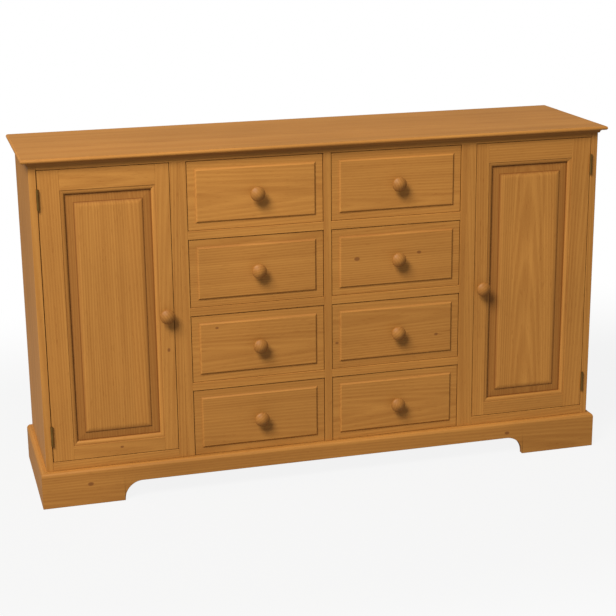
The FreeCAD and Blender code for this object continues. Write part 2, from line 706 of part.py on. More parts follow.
def knob(x, y_face, z):
    """A turned knob: a spigot, a foot, a hollow neck and a mushroom head with a round rim and a domed top."""
    foot = (KNOB_FOOT_RADIUS, KNOB_FOOT_HEIGHT)
    neck = (KNOB_NECK_RADIUS, KNOB_NECK_AT)
    under = (KNOB_RADIUS - 2 * KNOB_RIM_ROUND, KNOB_RIM_AT - KNOB_RIM_HALF)
    over = (KNOB_RADIUS - KNOB_RIM_ROUND, KNOB_RIM_AT + KNOB_RIM_HALF)
    tip = (0.0, KNOB_LENGTH)
    rise = tip[1] - over[1]
    dome = (over[0] ** 2 + rise ** 2) / (2 * rise)
    dome_bow = dome - math.sqrt(dome ** 2 - (over[0] ** 2 + rise ** 2) / 4)
    steps = [
        (0.0, -SPIGOT_LENGTH), (SPIGOT_RADIUS, -SPIGOT_LENGTH), (SPIGOT_RADIUS, 0.0), (KNOB_FOOT_RADIUS, 0.0),
        foot, bowed(foot, neck, KNOB_NECK_BOW), bowed(neck, under, KNOB_FLARE_BOW),
        ((KNOB_RADIUS, KNOB_RIM_AT), over), bowed(over, tip, -dome_bow),
    ]
    return turned(steps, Vector(x, y_face, z), Vector(0, -1, 0))


def tails(x0, x1, z0, z1, clearance):
    """The dovetails at the front end of a drawer side, or their sockets when they have a clearance."""
    pitch = (z1 - z0) / TAIL_COUNT
    y_root = FRONT_BACK
    y_tip = FRONT_BACK - TAIL_DEPTH
    shapes = []
    for number in range(TAIL_COUNT):
        middle = z0 + (number + 0.5) * pitch
        wide = TAIL_SHARE * pitch
        narrow = wide - TAIL_FLARE
        outline = [(y_tip - clearance, middle - wide - clearance), (y_root, middle - narrow - clearance),
                   (y_root, middle + narrow + clearance), (y_tip - clearance, middle + wide + clearance)]
        shapes.append(section(outline, "x", x0 - clearance, x1 + clearance))
    return shapes


def drawer(x0, x1, zo):
    """A drawer for the bay from x0 to x1 that slides at zo: its front, its box and its knob."""
    left, right = x0 + DRAWER_GAP, x1 - DRAWER_GAP
    low, high = zo + RUNNING_FIT, zo + ROW_HEIGHT - DRAWER_TOP_ROOM
    rect = (left, right, zo + DRAWER_GAP / 2, zo + ROW_HEIGHT - DRAWER_GAP)
    y_end = BACK_INNER - DRAWER_BACK_ROOM
    sides = ((left, left + DRAWER_SIDE), (right - DRAWER_SIDE, right))
    inner = (left + DRAWER_SIDE, right - DRAWER_SIDE)
    tail_low = zo + DRAWER_GAP

    panel_low = low + DRAWER_BOTTOM_RISE
    panel_high = panel_low + DRAWER_BOTTOM
    groove = HOUSING_DEPTH
    knob_spot = ((left + right) / 2, FIELD_FACE, (rect[2] + rect[3]) / 2)

    base = slab(rect, FRONT_SETBACK, FRONT_BACK)
    field = frustum(inset(rect, FIELD_BORDER), FIELD_SLOPE, FRONT_SETBACK, FIELD_FACE)
    front_cuts = [box(inner[0], inner[1], FRONT_BACK - groove, FRONT_BACK + 1, panel_low, panel_high)]
    front_cuts.append(spigot_hole(*knob_spot))
    for a, b in sides:
        front_cuts += tails(a, b, tail_low, high, GLUE_FIT)
    front = fused([base, field]).cut(front_cuts)

    back_low = panel_high + GLUE_FIT
    back_high = high - DRAWER_BACK_DROP
    boards = []
    for a, b in sides:
        side = fused([box(a, b, FRONT_BACK, y_end, low, high)] + tails(a, b, tail_low, high, 0.0))
        slot_x = (b - groove, b) if a == left else (a, a + groove)
        slot = box(slot_x[0], slot_x[1], FRONT_BACK, y_end, panel_low, panel_high)
        seat = box(slot_x[0], slot_x[1], y_end - 2 * DRAWER_SIDE, y_end - DRAWER_SIDE, back_low, high)
        boards.append(side.cut([slot, seat]))
    play = GLUE_FIT
    wide = (inner[0] - groove + play, inner[1] + groove - play)
    boards.append(box(wide[0], wide[1], y_end - 2 * DRAWER_SIDE + play, y_end - DRAWER_SIDE - play,
                      back_low, back_high))
    bottom = box(wide[0], wide[1], FRONT_BACK + play, y_end, panel_low + play, panel_high - play)
    tongue = box(inner[0] + play, inner[1] - play, FRONT_BACK - groove + play, FRONT_BACK + play,
                 panel_low + play, panel_high - play)
    boards.append(fused([bottom, tongue]))
    return {"front": [front], "box": boards, "knob": [knob(*knob_spot)]}


def build():
    """Write every node."""
    os.makedirs("parts", exist_ok=True)
    side = side_board()
    wall = partition(PARTITION_INNER, PARTITION_OUTER, ("low",))
    end = plinth_end()
    save("top_board", [top_board()])
    save("left_side", [mirrored(side)])
    save("right_side", [side])
    save("left_partition", [mirrored(wall)])
    save("right_partition", [wall])
    save("centre_partition", [partition(-CENTRE_HALF, CENTRE_HALF, ("low", "high"))])
    save("floor_board", [floor_board()])
    save("back_boards", back_boards())
    save("header_rail", [box(-SIDE_INNER, SIDE_INNER, 0, HEADER_DEPTH, HEADER_UNDER, TOP_UNDER)])
    save("door_strips", door_strips())
    save("cupboard_sills", both([box(BAY_INNER, BAY_OUTER, 0, STRIP_DEPTH, FLOOR_TOP, SILL_TOP)]))
    save("drawer_rails", drawer_rails())
    save("drawer_runners", drawer_runners())
    save("drawer_stops", drawer_stops())
    save("plinth_front", [plinth_front()])
    save("plinth_ends", both([end]))
    save("plinth_blocks", plinth_blocks())
    save("shelves", shelves())
    save("shelf_battens", shelf_battens())
    save("frame_hinges", both(fixed_hinges()))
    save("door_catches", door_catches())

    door = {name: [shape] for name, shape in door_frame().items()}
    door["panel"] = [door_panel()]
    door["knob"] = [knob(door_rect()[0] + DOOR_KNOB_INSET, 0.0, door_knob_height())]
    door["fittings"] = door_fittings()
    for name, shapes in door.items():
        save("right_door_" + name, shapes)
        save("left_door_" + name, [mirrored(shape) for shape in shapes])

    for number, zo in enumerate(reversed(drawer_floors()), start=1):
        for hand, x0, x1 in (("left", -PARTITION_INNER, -CENTRE_HALF), ("right", CENTRE_HALF, PARTITION_INNER)):
            for name, shapes in drawer(x0, x1, zo).items():
                save(f"{hand}_drawer_{number}_{name}", shapes)


build()
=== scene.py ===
# %% [markdown]
# # A pine dresser base, built as a joiner would
#
# Two panelled doors and eight drawers stand on a shaped plinth, and everything is waxed pine. The CAD frame
# already knows where each part is and how it moves. This lesson gives every part its finished surface: soft
# arrises, moulded edges, fielded panels, turned knobs, and a wood whose rings run through each board.

# %% Load the frame
import math

import bpy
import numpy as np
from mathutils import Matrix, Vector


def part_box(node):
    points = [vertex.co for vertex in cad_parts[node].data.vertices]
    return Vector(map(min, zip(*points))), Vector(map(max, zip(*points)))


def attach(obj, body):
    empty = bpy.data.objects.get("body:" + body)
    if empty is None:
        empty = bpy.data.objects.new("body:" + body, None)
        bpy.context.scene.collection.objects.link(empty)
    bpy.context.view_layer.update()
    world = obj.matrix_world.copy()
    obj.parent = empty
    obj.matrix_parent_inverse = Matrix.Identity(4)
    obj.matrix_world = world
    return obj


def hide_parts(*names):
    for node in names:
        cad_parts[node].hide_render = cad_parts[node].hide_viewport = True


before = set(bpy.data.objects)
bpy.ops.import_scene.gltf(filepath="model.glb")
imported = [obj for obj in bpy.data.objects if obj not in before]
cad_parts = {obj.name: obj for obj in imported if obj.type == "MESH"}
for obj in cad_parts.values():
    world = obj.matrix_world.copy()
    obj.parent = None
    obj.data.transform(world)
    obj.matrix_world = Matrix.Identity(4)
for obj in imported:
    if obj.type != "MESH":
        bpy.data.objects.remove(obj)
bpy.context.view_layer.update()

# %% [markdown]
# ## Where things are
#
# Joiners work in millimetres, so the shapes below do too, and only the last step turns them into metres.
# Each place comes from the frame. The plane that everything is set out from is the face of the carcass.

# %% Sizes taken from the frame
MM = 0.001


def corners(node):
    """The lowest and the highest corner of a CAD node, in millimetres."""
    low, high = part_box(node)
    return np.array(low) / MM, np.array(high) / MM


side_low, side_high = corners("right_side")
top_low, top_high = corners("top_board")
FACE = side_low[1]
CARCASS_END = side_high[0]
print("carcass face at y", round(FACE, 2), "mm, half length", round(CARCASS_END, 1))

# %% [markdown]
# ## The camera
#
# A low dresser is usually shown from standing height, from a little to the left of its middle, with a long
# lens so that its uprights stay nearly parallel. The camera is set by its place and by three angles: how
# far it is turned to the right, how far it looks down, and how far it leans.

# %% Camera
CAMERA_PLACE = (-1.0474, -3.7611, 1.5479)
TURNED, LOOKS_DOWN, LEANS = (math.radians(angle) for angle in (-15.467, 16.202, -0.609))
FRAME_WIDTH = 616
FOCAL_IN_FRAME = 1507.8 / FRAME_WIDTH

ahead = Vector((-math.sin(TURNED) * math.cos(LOOKS_DOWN), math.cos(TURNED) * math.cos(LOOKS_DOWN),
                -math.sin(LOOKS_DOWN)))
level = Vector((math.cos(TURNED), math.sin(TURNED), 0.0))
upward = level.cross(ahead)
right = math.cos(LEANS) * level + math.sin(LEANS) * upward
up = math.cos(LEANS) * upward - math.sin(LEANS) * level

lens = bpy.data.cameras.new("studio_camera")
lens.sensor_width = 36.0
lens.lens = FOCAL_IN_FRAME * lens.sensor_width
camera = bpy.data.objects.new("studio_camera", lens)
bpy.context.collection.objects.link(camera)
camera.matrix_world = Matrix.Translation(CAMERA_PLACE) @ Matrix((right, up, -ahead)).transposed().to_4x4()
bpy.context.scene.camera = camera
print("lens", round(lens.lens, 1), "mm")

# %% [markdown]
# ## Colours and nodes
#
# A colour picked on a screen is stored bent (sRGB), and a renderer adds light straight (linear). One
# function turns the one into the other. One more function adds a shader node, sets it up and wires its
# inputs, so that a material below reads as a list of steps.

# %% Two helpers
def linear(hex_colour):
    """sRGB hex to linear RGBA: below 0.04045 divide by 12.92, above it take ((c + 0.055) / 1.055) to the 2.4."""
    srgb = np.array([int(hex_colour[i:i + 2], 16) for i in (1, 3, 5)]) / 255
    rgb = np.where(srgb <= 0.04045, srgb / 12.92, ((srgb + 0.055) / 1.055) ** 2.4)
    return (*rgb.tolist(), 1.0)


def add(tree, kind, inputs=(), **settings):
    """Adds one node. Settings are its own properties, and inputs maps an input to a socket or a value."""
    made = tree.nodes.new(kind)
    for name, value in settings.items():
        setattr(made, name, value)
    for name, value in dict(inputs).items():
        if isinstance(value, bpy.types.NodeSocket):
            tree.links.new(value, made.inputs[name])
        else:
            made.inputs[name].default_value = value
    return made


def new_material(name):
    """An empty node tree with its output, ready for add()."""
    material = bpy.data.materials.new(name)
    material.use_nodes = True
    tree = material.node_tree
    tree.nodes.clear()
    return material, tree, tree.nodes.new("ShaderNodeOutputMaterial")


# %% [markdown]
# ## Light and floor
#
# A furniture studio lights a dresser with one broad soft lamp high up to the left, so that each moulding
# has a bright and a dark side and each knob throws a short soft shadow to the right. The pale room fills
# the rest. The paper on the floor goes to white away from the dresser, for the camera's own rays only: the
# backdrop is bright, the soft shadow stays, and the light that the floor throws back doesn't wash out the
# plinth.

# %% Room and lamps
KEY_PLACE = Vector((-4.0, -4.2, 6.2))
KEY_AIM = Vector((0.0, -0.1, 0.45))
KEY_SIZE = 3.4
KEY_WATTS = 850.0
ROOM_GLOW = 0.25

lamp = bpy.data.lights.new("key_softbox", "AREA")
lamp.shape = "DISK"
lamp.size = KEY_SIZE
lamp.energy = KEY_WATTS
key = bpy.data.objects.new("key_softbox", lamp)
key.location = KEY_PLACE
key.rotation_euler = (KEY_AIM - KEY_PLACE).to_track_quat("-Z", "Y").to_euler()
bpy.context.collection.objects.link(key)

room = bpy.data.worlds.new("pale_room")
bpy.context.scene.world = room
room.use_nodes = True
room.node_tree.nodes.clear()
tree = room.node_tree
rays = add(tree, "ShaderNodeLightPath")
strength = add(tree, "ShaderNodeMapRange", {
    "Value": rays.outputs["Is Camera Ray"], "To Min": ROOM_GLOW, "To Max": 1.0})
glow = add(tree, "ShaderNodeBackground", {"Color": linear("#FFFFFF"), "Strength": strength.outputs[0]})
add(tree, "ShaderNodeOutputWorld", {"Surface": glow.outputs[0]})
bpy.context.scene.view_settings.view_transform = "Standard"

# %% Floor
FLOOR_HALF = 40.0
FLOOR_LIFT = (0.88, 1.0)       # how far the paper goes to white: beside the dresser, and out of its shadow
FADE_FROM, FADE_TO = 0.75, 1.7

paper, tree, output = new_material("pale_paper")
rays = add(tree, "ShaderNodeLightPath")
place = add(tree, "ShaderNodeTexCoord").outputs["Object"]
away = add(tree, "ShaderNodeVectorMath", {0: place, 1: (0.55, 1.0, 0.0)}, operation="MULTIPLY")
away = add(tree, "ShaderNodeVectorMath", {0: away.outputs[0]}, operation="LENGTH")
fade = add(tree, "ShaderNodeMapRange", {
    "Value": away.outputs["Value"], "From Min": FADE_FROM, "From Max": FADE_TO,
    "To Min": FLOOR_LIFT[0], "To Max": FLOOR_LIFT[1]}, interpolation_type="SMOOTHSTEP")
lift = add(tree, "ShaderNodeMath", {0: rays.outputs["Is Camera Ray"], 1: fade.outputs[0]}, operation="MULTIPLY")
matt = add(tree, "ShaderNodeBsdfDiffuse", {"Color": linear("#979693")})
white = add(tree, "ShaderNodeEmission", {"Color": linear("#FFFFFF"), "Strength": 1.0})
both = add(tree, "ShaderNodeMixShader", {0: lift.outputs[0], 1: matt.outputs[0], 2: white.outputs[0]})
tree.links.new(both.outputs[0], output.inputs["Surface"])

floor_mesh = bpy.data.meshes.new("studio_floor")
floor_mesh.from_pydata([(-FLOOR_HALF, -FLOOR_HALF, 0), (FLOOR_HALF, -FLOOR_HALF, 0),
                        (FLOOR_HALF, FLOOR_HALF, 0), (-FLOOR_HALF, FLOOR_HALF, 0)], [], [(0, 1, 2, 3)])
floor_mesh.materials.append(paper)
floor = bpy.data.objects.new("studio_floor", floor_mesh)
bpy.context.collection.objects.link(floor)

# %% [markdown]
# ## Waxed pine
#
# Pine is a softwood with wide pale rings that end in thin darker lines. A board is a flat cut through a
# tree of nested cones, which is why the lines run straight near its edges and make long arches down its
# middle. Antique wax turns it honey brown and sinks darker into the soft bands. The corners of the
# mouldings are darkened, wax and painted shade together, and the arrises are marked paler, wear and a
# painted highlight together.
#
# The pattern could be a flat noise stretched along the board, but then end grain, edges and faces wouldn't
# match. Instead each board carries its own coordinates (along, across and depth, in metres), and the shader
# measures how far each point is from the heart of an imagined tree. Glued-up boards get a new tree per
# strip.

# %% Ring and fibre sizes
RING_WIDTH = 0.0062        # pine rings are 2 to 5 mm wide, drawn a little wider so that they show
RING_LEAN = 0.03          # how fast the heart of the tree leaves the board, metres per metre
HEART_NEAR, HEART_FAR = 0.03, 0.09
HEART_SWAY = 0.26
WOBBLE = 0.008
FIBRE_SCALE = (5.0, 260.0, 260.0)      # fibres are 0.1 mm wide, drawn 4 mm apart to show
STREAK_SCALE = (0.9, 38.0, 38.0)       # uneven soaking of the wax, 25 mm across
CLOUD_SCALE = 3.2                      # patches of lighter and darker wax, 0.3 m across
FLECK_SCALE = (45.0, 420.0, 420.0)     # resin ducts: dashes 2 mm wide, 20 mm long
TONE_SPREAD = 0.08
CLOUD_SPREAD = 0.3
SWAY_SCALE = (0.9, 7.0, 7.0)           # slow bends of the rings: 1.1 m long, 0.14 m wide
STRIP_SHIFT = 3.0                      # how far along its tree a glued strip may start, metres
RING_PEAK = 6.75                       # makes f * f * (1 - f) reach 1
RING_SHARE, FIBRE_SHARE, STREAK_SHARE, FLECK_SHARE = 0.3, 0.5, 0.85, 0.25
FLECK_FROM, FLECK_TO = 0.68, 0.78
DARK_START = 0.18
GLOSS_SPREAD = 0.06
GRAIN_BUMP, GRAIN_RELIEF = 0.2, 0.0003
KNOT_STRETCH, KNOT_PULL = 1.5, 0.95    # a knot's length by its width, and how closely the rings go round it
KNOT_OUT, KNOT_IN, KNOT_DEPTH = 1.25, 0.7, 0.8
NO_KNOT = 1e-6
WAX_SHINE = 0.22            # old wax is far duller than varnish


def pine(name, early, late, wax_and_shade, knot, sources, roughness, contrast):
    """Pine as rings round a heart, with fibres, soaked streaks, knots, and wax with painted shade and highlight.
    Sources are the sockets it reads.

    Ring number = distance from the heart / ring width, and f * f * (1 - f) of its fraction is the dark line."""
    material, tree, output = new_material(name)
    grain, board, knots, wax_and_painted_light = sources(tree)
    parts = add(tree, "ShaderNodeSeparateXYZ", {0: board}).outputs
    where = add(tree, "ShaderNodeSeparateXYZ", {0: grain}).outputs

    strip = add(tree, "ShaderNodeMath", {0: where[1], 1: parts[0]}, operation="DIVIDE")
    strip = add(tree, "ShaderNodeMath", {0: strip.outputs[0], 1: 0.5}, operation="ADD")
    strip = add(tree, "ShaderNodeMath", {0: strip.outputs[0]}, operation="FLOOR")
    lot = add(tree, "ShaderNodeCombineXYZ", {0: strip.outputs[0], 1: parts[1]})
    lot = add(tree, "ShaderNodeTexWhiteNoise", {"Vector": lot.outputs[0]}, noise_dimensions="3D")
    shift = add(tree, "ShaderNodeVectorMath", {
        0: lot.outputs["Color"], 1: (STRIP_SHIFT, HEART_SWAY, HEART_FAR - HEART_NEAR),
        2: (0.0, -HEART_SWAY / 2, HEART_NEAR)}, operation="MULTIPLY_ADD")

    bent = grain
    mask = None
    for spot in knots:
        size = add(tree, "ShaderNodeSeparateXYZ", {0: spot}).outputs[2]
        flat = add(tree, "ShaderNodeVectorMath", {0: spot, 1: (1, 1, 0)}, operation="MULTIPLY")
        off = add(tree, "ShaderNodeVectorMath", {0: grain, 1: flat.outputs[0]}, operation="SUBTRACT")
        off = add(tree, "ShaderNodeVectorMath", {0: off.outputs[0], 1: (1 / KNOT_STRETCH, 1, 0)},
                  operation="MULTIPLY")
        away = add(tree, "ShaderNodeVectorMath", {0: off.outputs[0]}, operation="LENGTH")
        solid = add(tree, "ShaderNodeMath", {0: size, 1: NO_KNOT}, operation="MAXIMUM")
        radii = add(tree, "ShaderNodeMath", {0: away.outputs["Value"], 1: solid.outputs[0]}, operation="DIVIDE")
        square = add(tree, "ShaderNodeMath", {0: radii.outputs[0], 1: radii.outputs[0], 2: 1.0},
                     operation="MULTIPLY_ADD")
        pull = add(tree, "ShaderNodeMath", {0: -KNOT_PULL, 1: square.outputs[0]}, operation="DIVIDE")
        squeeze = add(tree, "ShaderNodeVectorMath", {0: off.outputs[0], 1: (0, 1, 0)}, operation="MULTIPLY")
        squeeze = add(tree, "ShaderNodeVectorMath", {0: squeeze.outputs[0], "Scale": pull.outputs[0]},
                      operation="SCALE")
        bent = add(tree, "ShaderNodeVectorMath", {0: bent, 1: squeeze.outputs[0]}, operation="ADD").outputs[0]
        inside = add(tree, "ShaderNodeMapRange", {
            "Value": radii.outputs[0], "From Min": KNOT_OUT, "From Max": KNOT_IN},
            interpolation_type="SMOOTHSTEP").outputs[0]
        mask = inside if mask is None else add(
            tree, "ShaderNodeMath", {0: mask, 1: inside}, operation="MAXIMUM").outputs[0]

    tree_place = add(tree, "ShaderNodeVectorMath", {0: bent, 1: shift.outputs[0]}, operation="ADD").outputs[0]
    sway = add(tree, "ShaderNodeVectorMath", {0: tree_place, 1: SWAY_SCALE}, operation="MULTIPLY")
    sway = add(tree, "ShaderNodeTexNoise", {"Vector": sway.outputs[0], "Scale": 1.0, "Detail": 2.0})
    sway = add(tree, "ShaderNodeVectorMath", {
        0: sway.outputs["Color"], 1: (0, WOBBLE * 2, WOBBLE * 2), 2: (0, -WOBBLE, -WOBBLE)},
        operation="MULTIPLY_ADD")
    swayed = add(tree, "ShaderNodeVectorMath", {0: tree_place, 1: sway.outputs[0]}, operation="ADD")
    spread = add(tree, "ShaderNodeSeparateXYZ", {0: swayed.outputs[0]}).outputs
    along = add(tree, "ShaderNodeMath", {0: where[0], 1: parts[1]}, operation="SUBTRACT")
    deep = add(tree, "ShaderNodeMath", {0: along.outputs[0], 1: RING_LEAN, 2: spread[2]}, operation="MULTIPLY_ADD")
    radial = add(tree, "ShaderNodeCombineXYZ", {1: spread[1], 2: deep.outputs[0]})
    radius = add(tree, "ShaderNodeVectorMath", {0: radial.outputs[0]}, operation="LENGTH")
    ring = add(tree, "ShaderNodeMath", {0: radius.outputs["Value"], 1: RING_WIDTH}, operation="DIVIDE")
    ring = add(tree, "ShaderNodeMath", {0: ring.outputs[0]}, operation="FRACT")
    early_part = add(tree, "ShaderNodeMath", {0: 1.0, 1: ring.outputs[0]}, operation="SUBTRACT")
    line = add(tree, "ShaderNodeMath", {0: ring.outputs[0], 1: ring.outputs[0]}, operation="MULTIPLY")
    line = add(tree, "ShaderNodeMath", {0: line.outputs[0], 1: early_part.outputs[0]}, operation="MULTIPLY")
    line = add(tree, "ShaderNodeMath", {0: line.outputs[0], 1: RING_PEAK}, operation="MULTIPLY")

    fine = {}
    for label, scale, detail in (("fibre", FIBRE_SCALE, 3.0), ("streak", STREAK_SCALE, 3.0),
                                 ("fleck", FLECK_SCALE, 0.0)):
        put = add(tree, "ShaderNodeVectorMath", {0: tree_place, 1: scale}, operation="MULTIPLY")
        fine[label] = add(tree, "ShaderNodeTexNoise", {
            "Vector": put.outputs[0], "Scale": 1.0, "Detail": detail}).outputs["Fac"]
    place = add(tree, "ShaderNodeTexCoord").outputs["Object"]
    cloud = add(tree, "ShaderNodeTexNoise", {"Vector": place, "Scale": CLOUD_SCALE, "Detail": 2.0})

    dark = add(tree, "ShaderNodeMath", {0: line.outputs[0], 1: RING_SHARE * contrast}, operation="MULTIPLY")
    for label, share in (("fibre", FIBRE_SHARE), ("streak", STREAK_SHARE)):
        centred = add(tree, "ShaderNodeMath", {0: fine[label], 1: 0.5}, operation="SUBTRACT")
        dark = add(tree, "ShaderNodeMath", {0: centred.outputs[0], 1: share * contrast, 2: dark.outputs[0]},
                   operation="MULTIPLY_ADD")
    fleck = add(tree, "ShaderNodeMapRange", {"Value": fine["fleck"], "From Min": FLECK_FROM, "From Max": FLECK_TO,
                                             "To Max": FLECK_SHARE * contrast})
    dark = add(tree, "ShaderNodeMath", {0: dark.outputs[0], 1: fleck.outputs[0]}, operation="ADD")
    dark = add(tree, "ShaderNodeMath", {0: dark.outputs[0], 1: DARK_START}, operation="ADD", use_clamp=True)
    colour = add(tree, "ShaderNodeMix", {0: dark.outputs[0], 6: linear(early), 7: linear(late)},
                 data_type="RGBA").outputs[2]
    if mask is not None:
        knot_share = add(tree, "ShaderNodeMath", {0: mask, 1: KNOT_DEPTH}, operation="MULTIPLY")
        colour = add(tree, "ShaderNodeMix", {0: knot_share.outputs[0], 6: colour, 7: linear(knot)},
                     data_type="RGBA").outputs[2]

    tone = add(tree, "ShaderNodeSeparateXYZ", {0: lot.outputs["Color"]}).outputs[2]
    tone = add(tree, "ShaderNodeMath", {0: tone, 1: TONE_SPREAD, 2: parts[2]}, operation="MULTIPLY_ADD")
    tone = add(tree, "ShaderNodeMath", {0: cloud.outputs["Fac"], 1: CLOUD_SPREAD, 2: tone.outputs[0]},
               operation="MULTIPLY_ADD")
    bright = add(tree, "ShaderNodeMath", {
        0: tone.outputs[0], 1: 1.0 - TONE_SPREAD / 2 - CLOUD_SPREAD / 2}, operation="ADD")
    toned = add(tree, "ShaderNodeVectorMath", {0: colour, "Scale": bright.outputs[0]}, operation="SCALE")
    # The mark mixes the colour towards the dark wax colour: wax and painted shade in the hollows, and a painted
    # highlight where it is negative.
    wax_and_shade_mixed = add(tree, "ShaderNodeMix", {0: wax_and_painted_light, 6: toned.outputs[0], 7: linear(wax_and_shade)}, data_type="RGBA")

    gloss = add(tree, "ShaderNodeMapRange", {"Value": fine["streak"], "To Min": roughness - GLOSS_SPREAD,
                                             "To Max": roughness + GLOSS_SPREAD})
    height = add(tree, "ShaderNodeMath", {0: line.outputs[0], 1: 0.5, 2: fine["fibre"]}, operation="MULTIPLY_ADD")
    bump = add(tree, "ShaderNodeBump", {
        "Height": height.outputs[0], "Strength": GRAIN_BUMP, "Distance": GRAIN_RELIEF})
    shader = add(tree, "ShaderNodeBsdfPrincipled", {
        "Base Color": wax_and_shade_mixed.outputs[2], "Roughness": gloss.outputs[0], "Normal": bump.outputs[0],
        "Specular IOR Level": WAX_SHINE})
    tree.links.new(shader.outputs[0], output.inputs["Surface"])
    return material


# %% [markdown]
# ## Where the pattern gets its coordinates
#
# The finished boards carry attributes that are set when they are made. The parts that stay as CAD shapes
# have none, so for them the same wood reads the object's own coordinates, and picks which way the grain
# runs from the way each face looks: a drawer side shows its length, not its end.

# %% Sources of grain
def carried(tree):
    """Sockets that read the attributes of a finished board."""
    grain, board, first, second = (
        add(tree, "ShaderNodeAttribute", attribute_name=name).outputs["Vector"]
        for name in ("grain", "board", "knot", "knot_two"))
    wax_and_painted_light = add(tree, "ShaderNodeAttribute", attribute_name="wax_and_painted_light").outputs["Fac"]
    return grain, board, (first, second), wax_and_painted_light


def worked_out(straight, turned, strip, seed):
    """Sockets for a CAD shape: its axes in the order straight, or in the order turned on faces that look sideways."""
    def sockets(tree):
        place = add(tree, "ShaderNodeTexCoord").outputs["Object"]
        axes = add(tree, "ShaderNodeSeparateXYZ", {0: place}).outputs
        looks = add(tree, "ShaderNodeNewGeometry").outputs["Normal"]
        looks = add(tree, "ShaderNodeSeparateXYZ", {0: looks}).outputs[0]
        looks = add(tree, "ShaderNodeMath", {0: looks}, operation="ABSOLUTE")
        sideways = add(tree, "ShaderNodeMath", {0: looks.outputs[0], 1: 0.5}, operation="GREATER_THAN")
        orders = [add(tree, "ShaderNodeCombineXYZ", {i: axes["xyz".index(axis)] for i, axis in enumerate(order)})
                  for order in (straight, turned)]
        grain = add(tree, "ShaderNodeMix", {0: sideways.outputs[0], 4: orders[0].outputs[0],
                                            5: orders[1].outputs[0]}, data_type="VECTOR")
        board = add(tree, "ShaderNodeCombineXYZ", {0: strip, 1: seed, 2: 0.0})
        wax_and_painted_light = add(tree, "ShaderNodeMath", {0: 0.0, 1: 0.0}, operation="ADD")
        return grain.outputs[1], board.outputs[0], (), wax_and_painted_light.outputs[0]
    return sockets


# %% Waxed pine and the bare pine inside
# The third colour is the dark wax colour, which the marks mix in as wax and painted shade.
waxed_pine = pine("waxed_pine", "#BD823C", "#945B22", "#6E3A10", "#7A4820", carried, 0.52, 1.0)
bare = {"early": "#D2AC78", "late": "#A87B45", "wax_and_shade": "#8A5A2B", "knot": "#7A4A26",
        "roughness": 0.62, "contrast": 0.8}
bare_pine = pine("bare_pine", sources=worked_out("xzy", "yzx", 10.0, 3.0), **bare)
bare_pine_sawn = pine("bare_pine_sawn", sources=carried, **bare)
print("wood nodes", len(waxed_pine.node_tree.nodes))

# %% [markdown]
# ## Hinge brass and catch steel
#
# The butt hinges are pressed brass that has dulled to brown, and the catches are plated steel. Both are
# metals: their colour is in the reflection, and small differences in roughness do the rest.

# %% Metals
def metal(name, colour, tarnish, roughness):
    """Dull metal: clouds 15 mm across of tarnish over the bright colour, and rougher where it is tarnished."""
    material, tree, output = new_material(name)
    place = add(tree, "ShaderNodeTexCoord").outputs["Object"]
    cloud = add(tree, "ShaderNodeTexNoise", {"Vector": place, "Scale": 65.0, "Detail": 4.0}).outputs["Fac"]
    mixed = add(tree, "ShaderNodeMix", {0: cloud, 6: linear(colour), 7: linear(tarnish)}, data_type="RGBA")
    rough = add(tree, "ShaderNodeMapRange", {"Value": cloud, "To Min": roughness - 0.1, "To Max": roughness + 0.15})
    bump = add(tree, "ShaderNodeBump", {"Height": cloud, "Strength": 0.2, "Distance": 0.0002})
    shader = add(tree, "ShaderNodeBsdfPrincipled", {
        "Base Color": mixed.outputs[2], "Metallic": 1.0, "Roughness": rough.outputs[0],
        "Normal": bump.outputs[0]})
    tree.links.new(shader.outputs[0], output.inputs["Surface"])
    return material


dull_brass = metal("dull_brass", "#B08A4A", "#6E5228", 0.42)
plated_steel = metal("plated_steel", "#B9B7B2", "#8C8A86", 0.35)

# %% [markdown]
# ## From arrays to a board
#
# Every finished piece is one or more closed surfaces. A surface is a grid of points, worked out as whole
# arrays. Points that fall on each other at seams and poles become one, which closes the surface. Each
# surface then gets its grain: which axis runs along the board, which across, and which into it.

# %% Grids
SHORT = 0.0001
TREE_SPAN = 50          # metres between the first and the last possible start along a tree
random = np.random.default_rng(1524)


def grid_faces(rows, columns, closed):
    """Four-sided faces between neighbours on a grid: point (r, c), (r, c+1), (r+1, c+1), (r+1, c)."""
    number = np.arange(rows * columns).reshape(rows, columns)
    if closed:
        number = np.concatenate([number, number[:, :1]], axis=1)
    return np.stack([number[:-1, :-1], number[:-1, 1:], number[1:, 1:], number[1:, :-1]], axis=-1).reshape(-1, 4)


def welded(points, faces, values):
    """Points nearer than a tenth of a micrometre become one, and a four-sided face that loses a corner becomes
    a triangle."""
    _, first, where = np.unique(np.round(points / SHORT).astype(np.int64), axis=0, return_index=True,
                                return_inverse=True)
    where = where.reshape(-1)
    kept = []
    for block in faces:
        block = where[block]
        same = block == np.roll(block, -1, axis=1)
        whole = same.sum(axis=1) == 0
        kept.append(block[whole])
        if block.shape[1] == 4:
            single = same.sum(axis=1) == 1
            kept.append(block[single][~same[single]].reshape(-1, 3))
    return points[first], [block for block in kept if len(block)], values[first]


def volume(points, faces):
    """Signed volume: each face, cut into triangles from its first corner, adds the box product of its corners / 6."""
    total = 0.0
    for block in faces:
        for i in range(1, block.shape[1] - 1):
            a, b, c = (points[block[:, k]] for k in (0, i, i + 1))
            total += np.einsum("ij,ij->i", a, np.cross(b, c)).sum() / 6
    return total


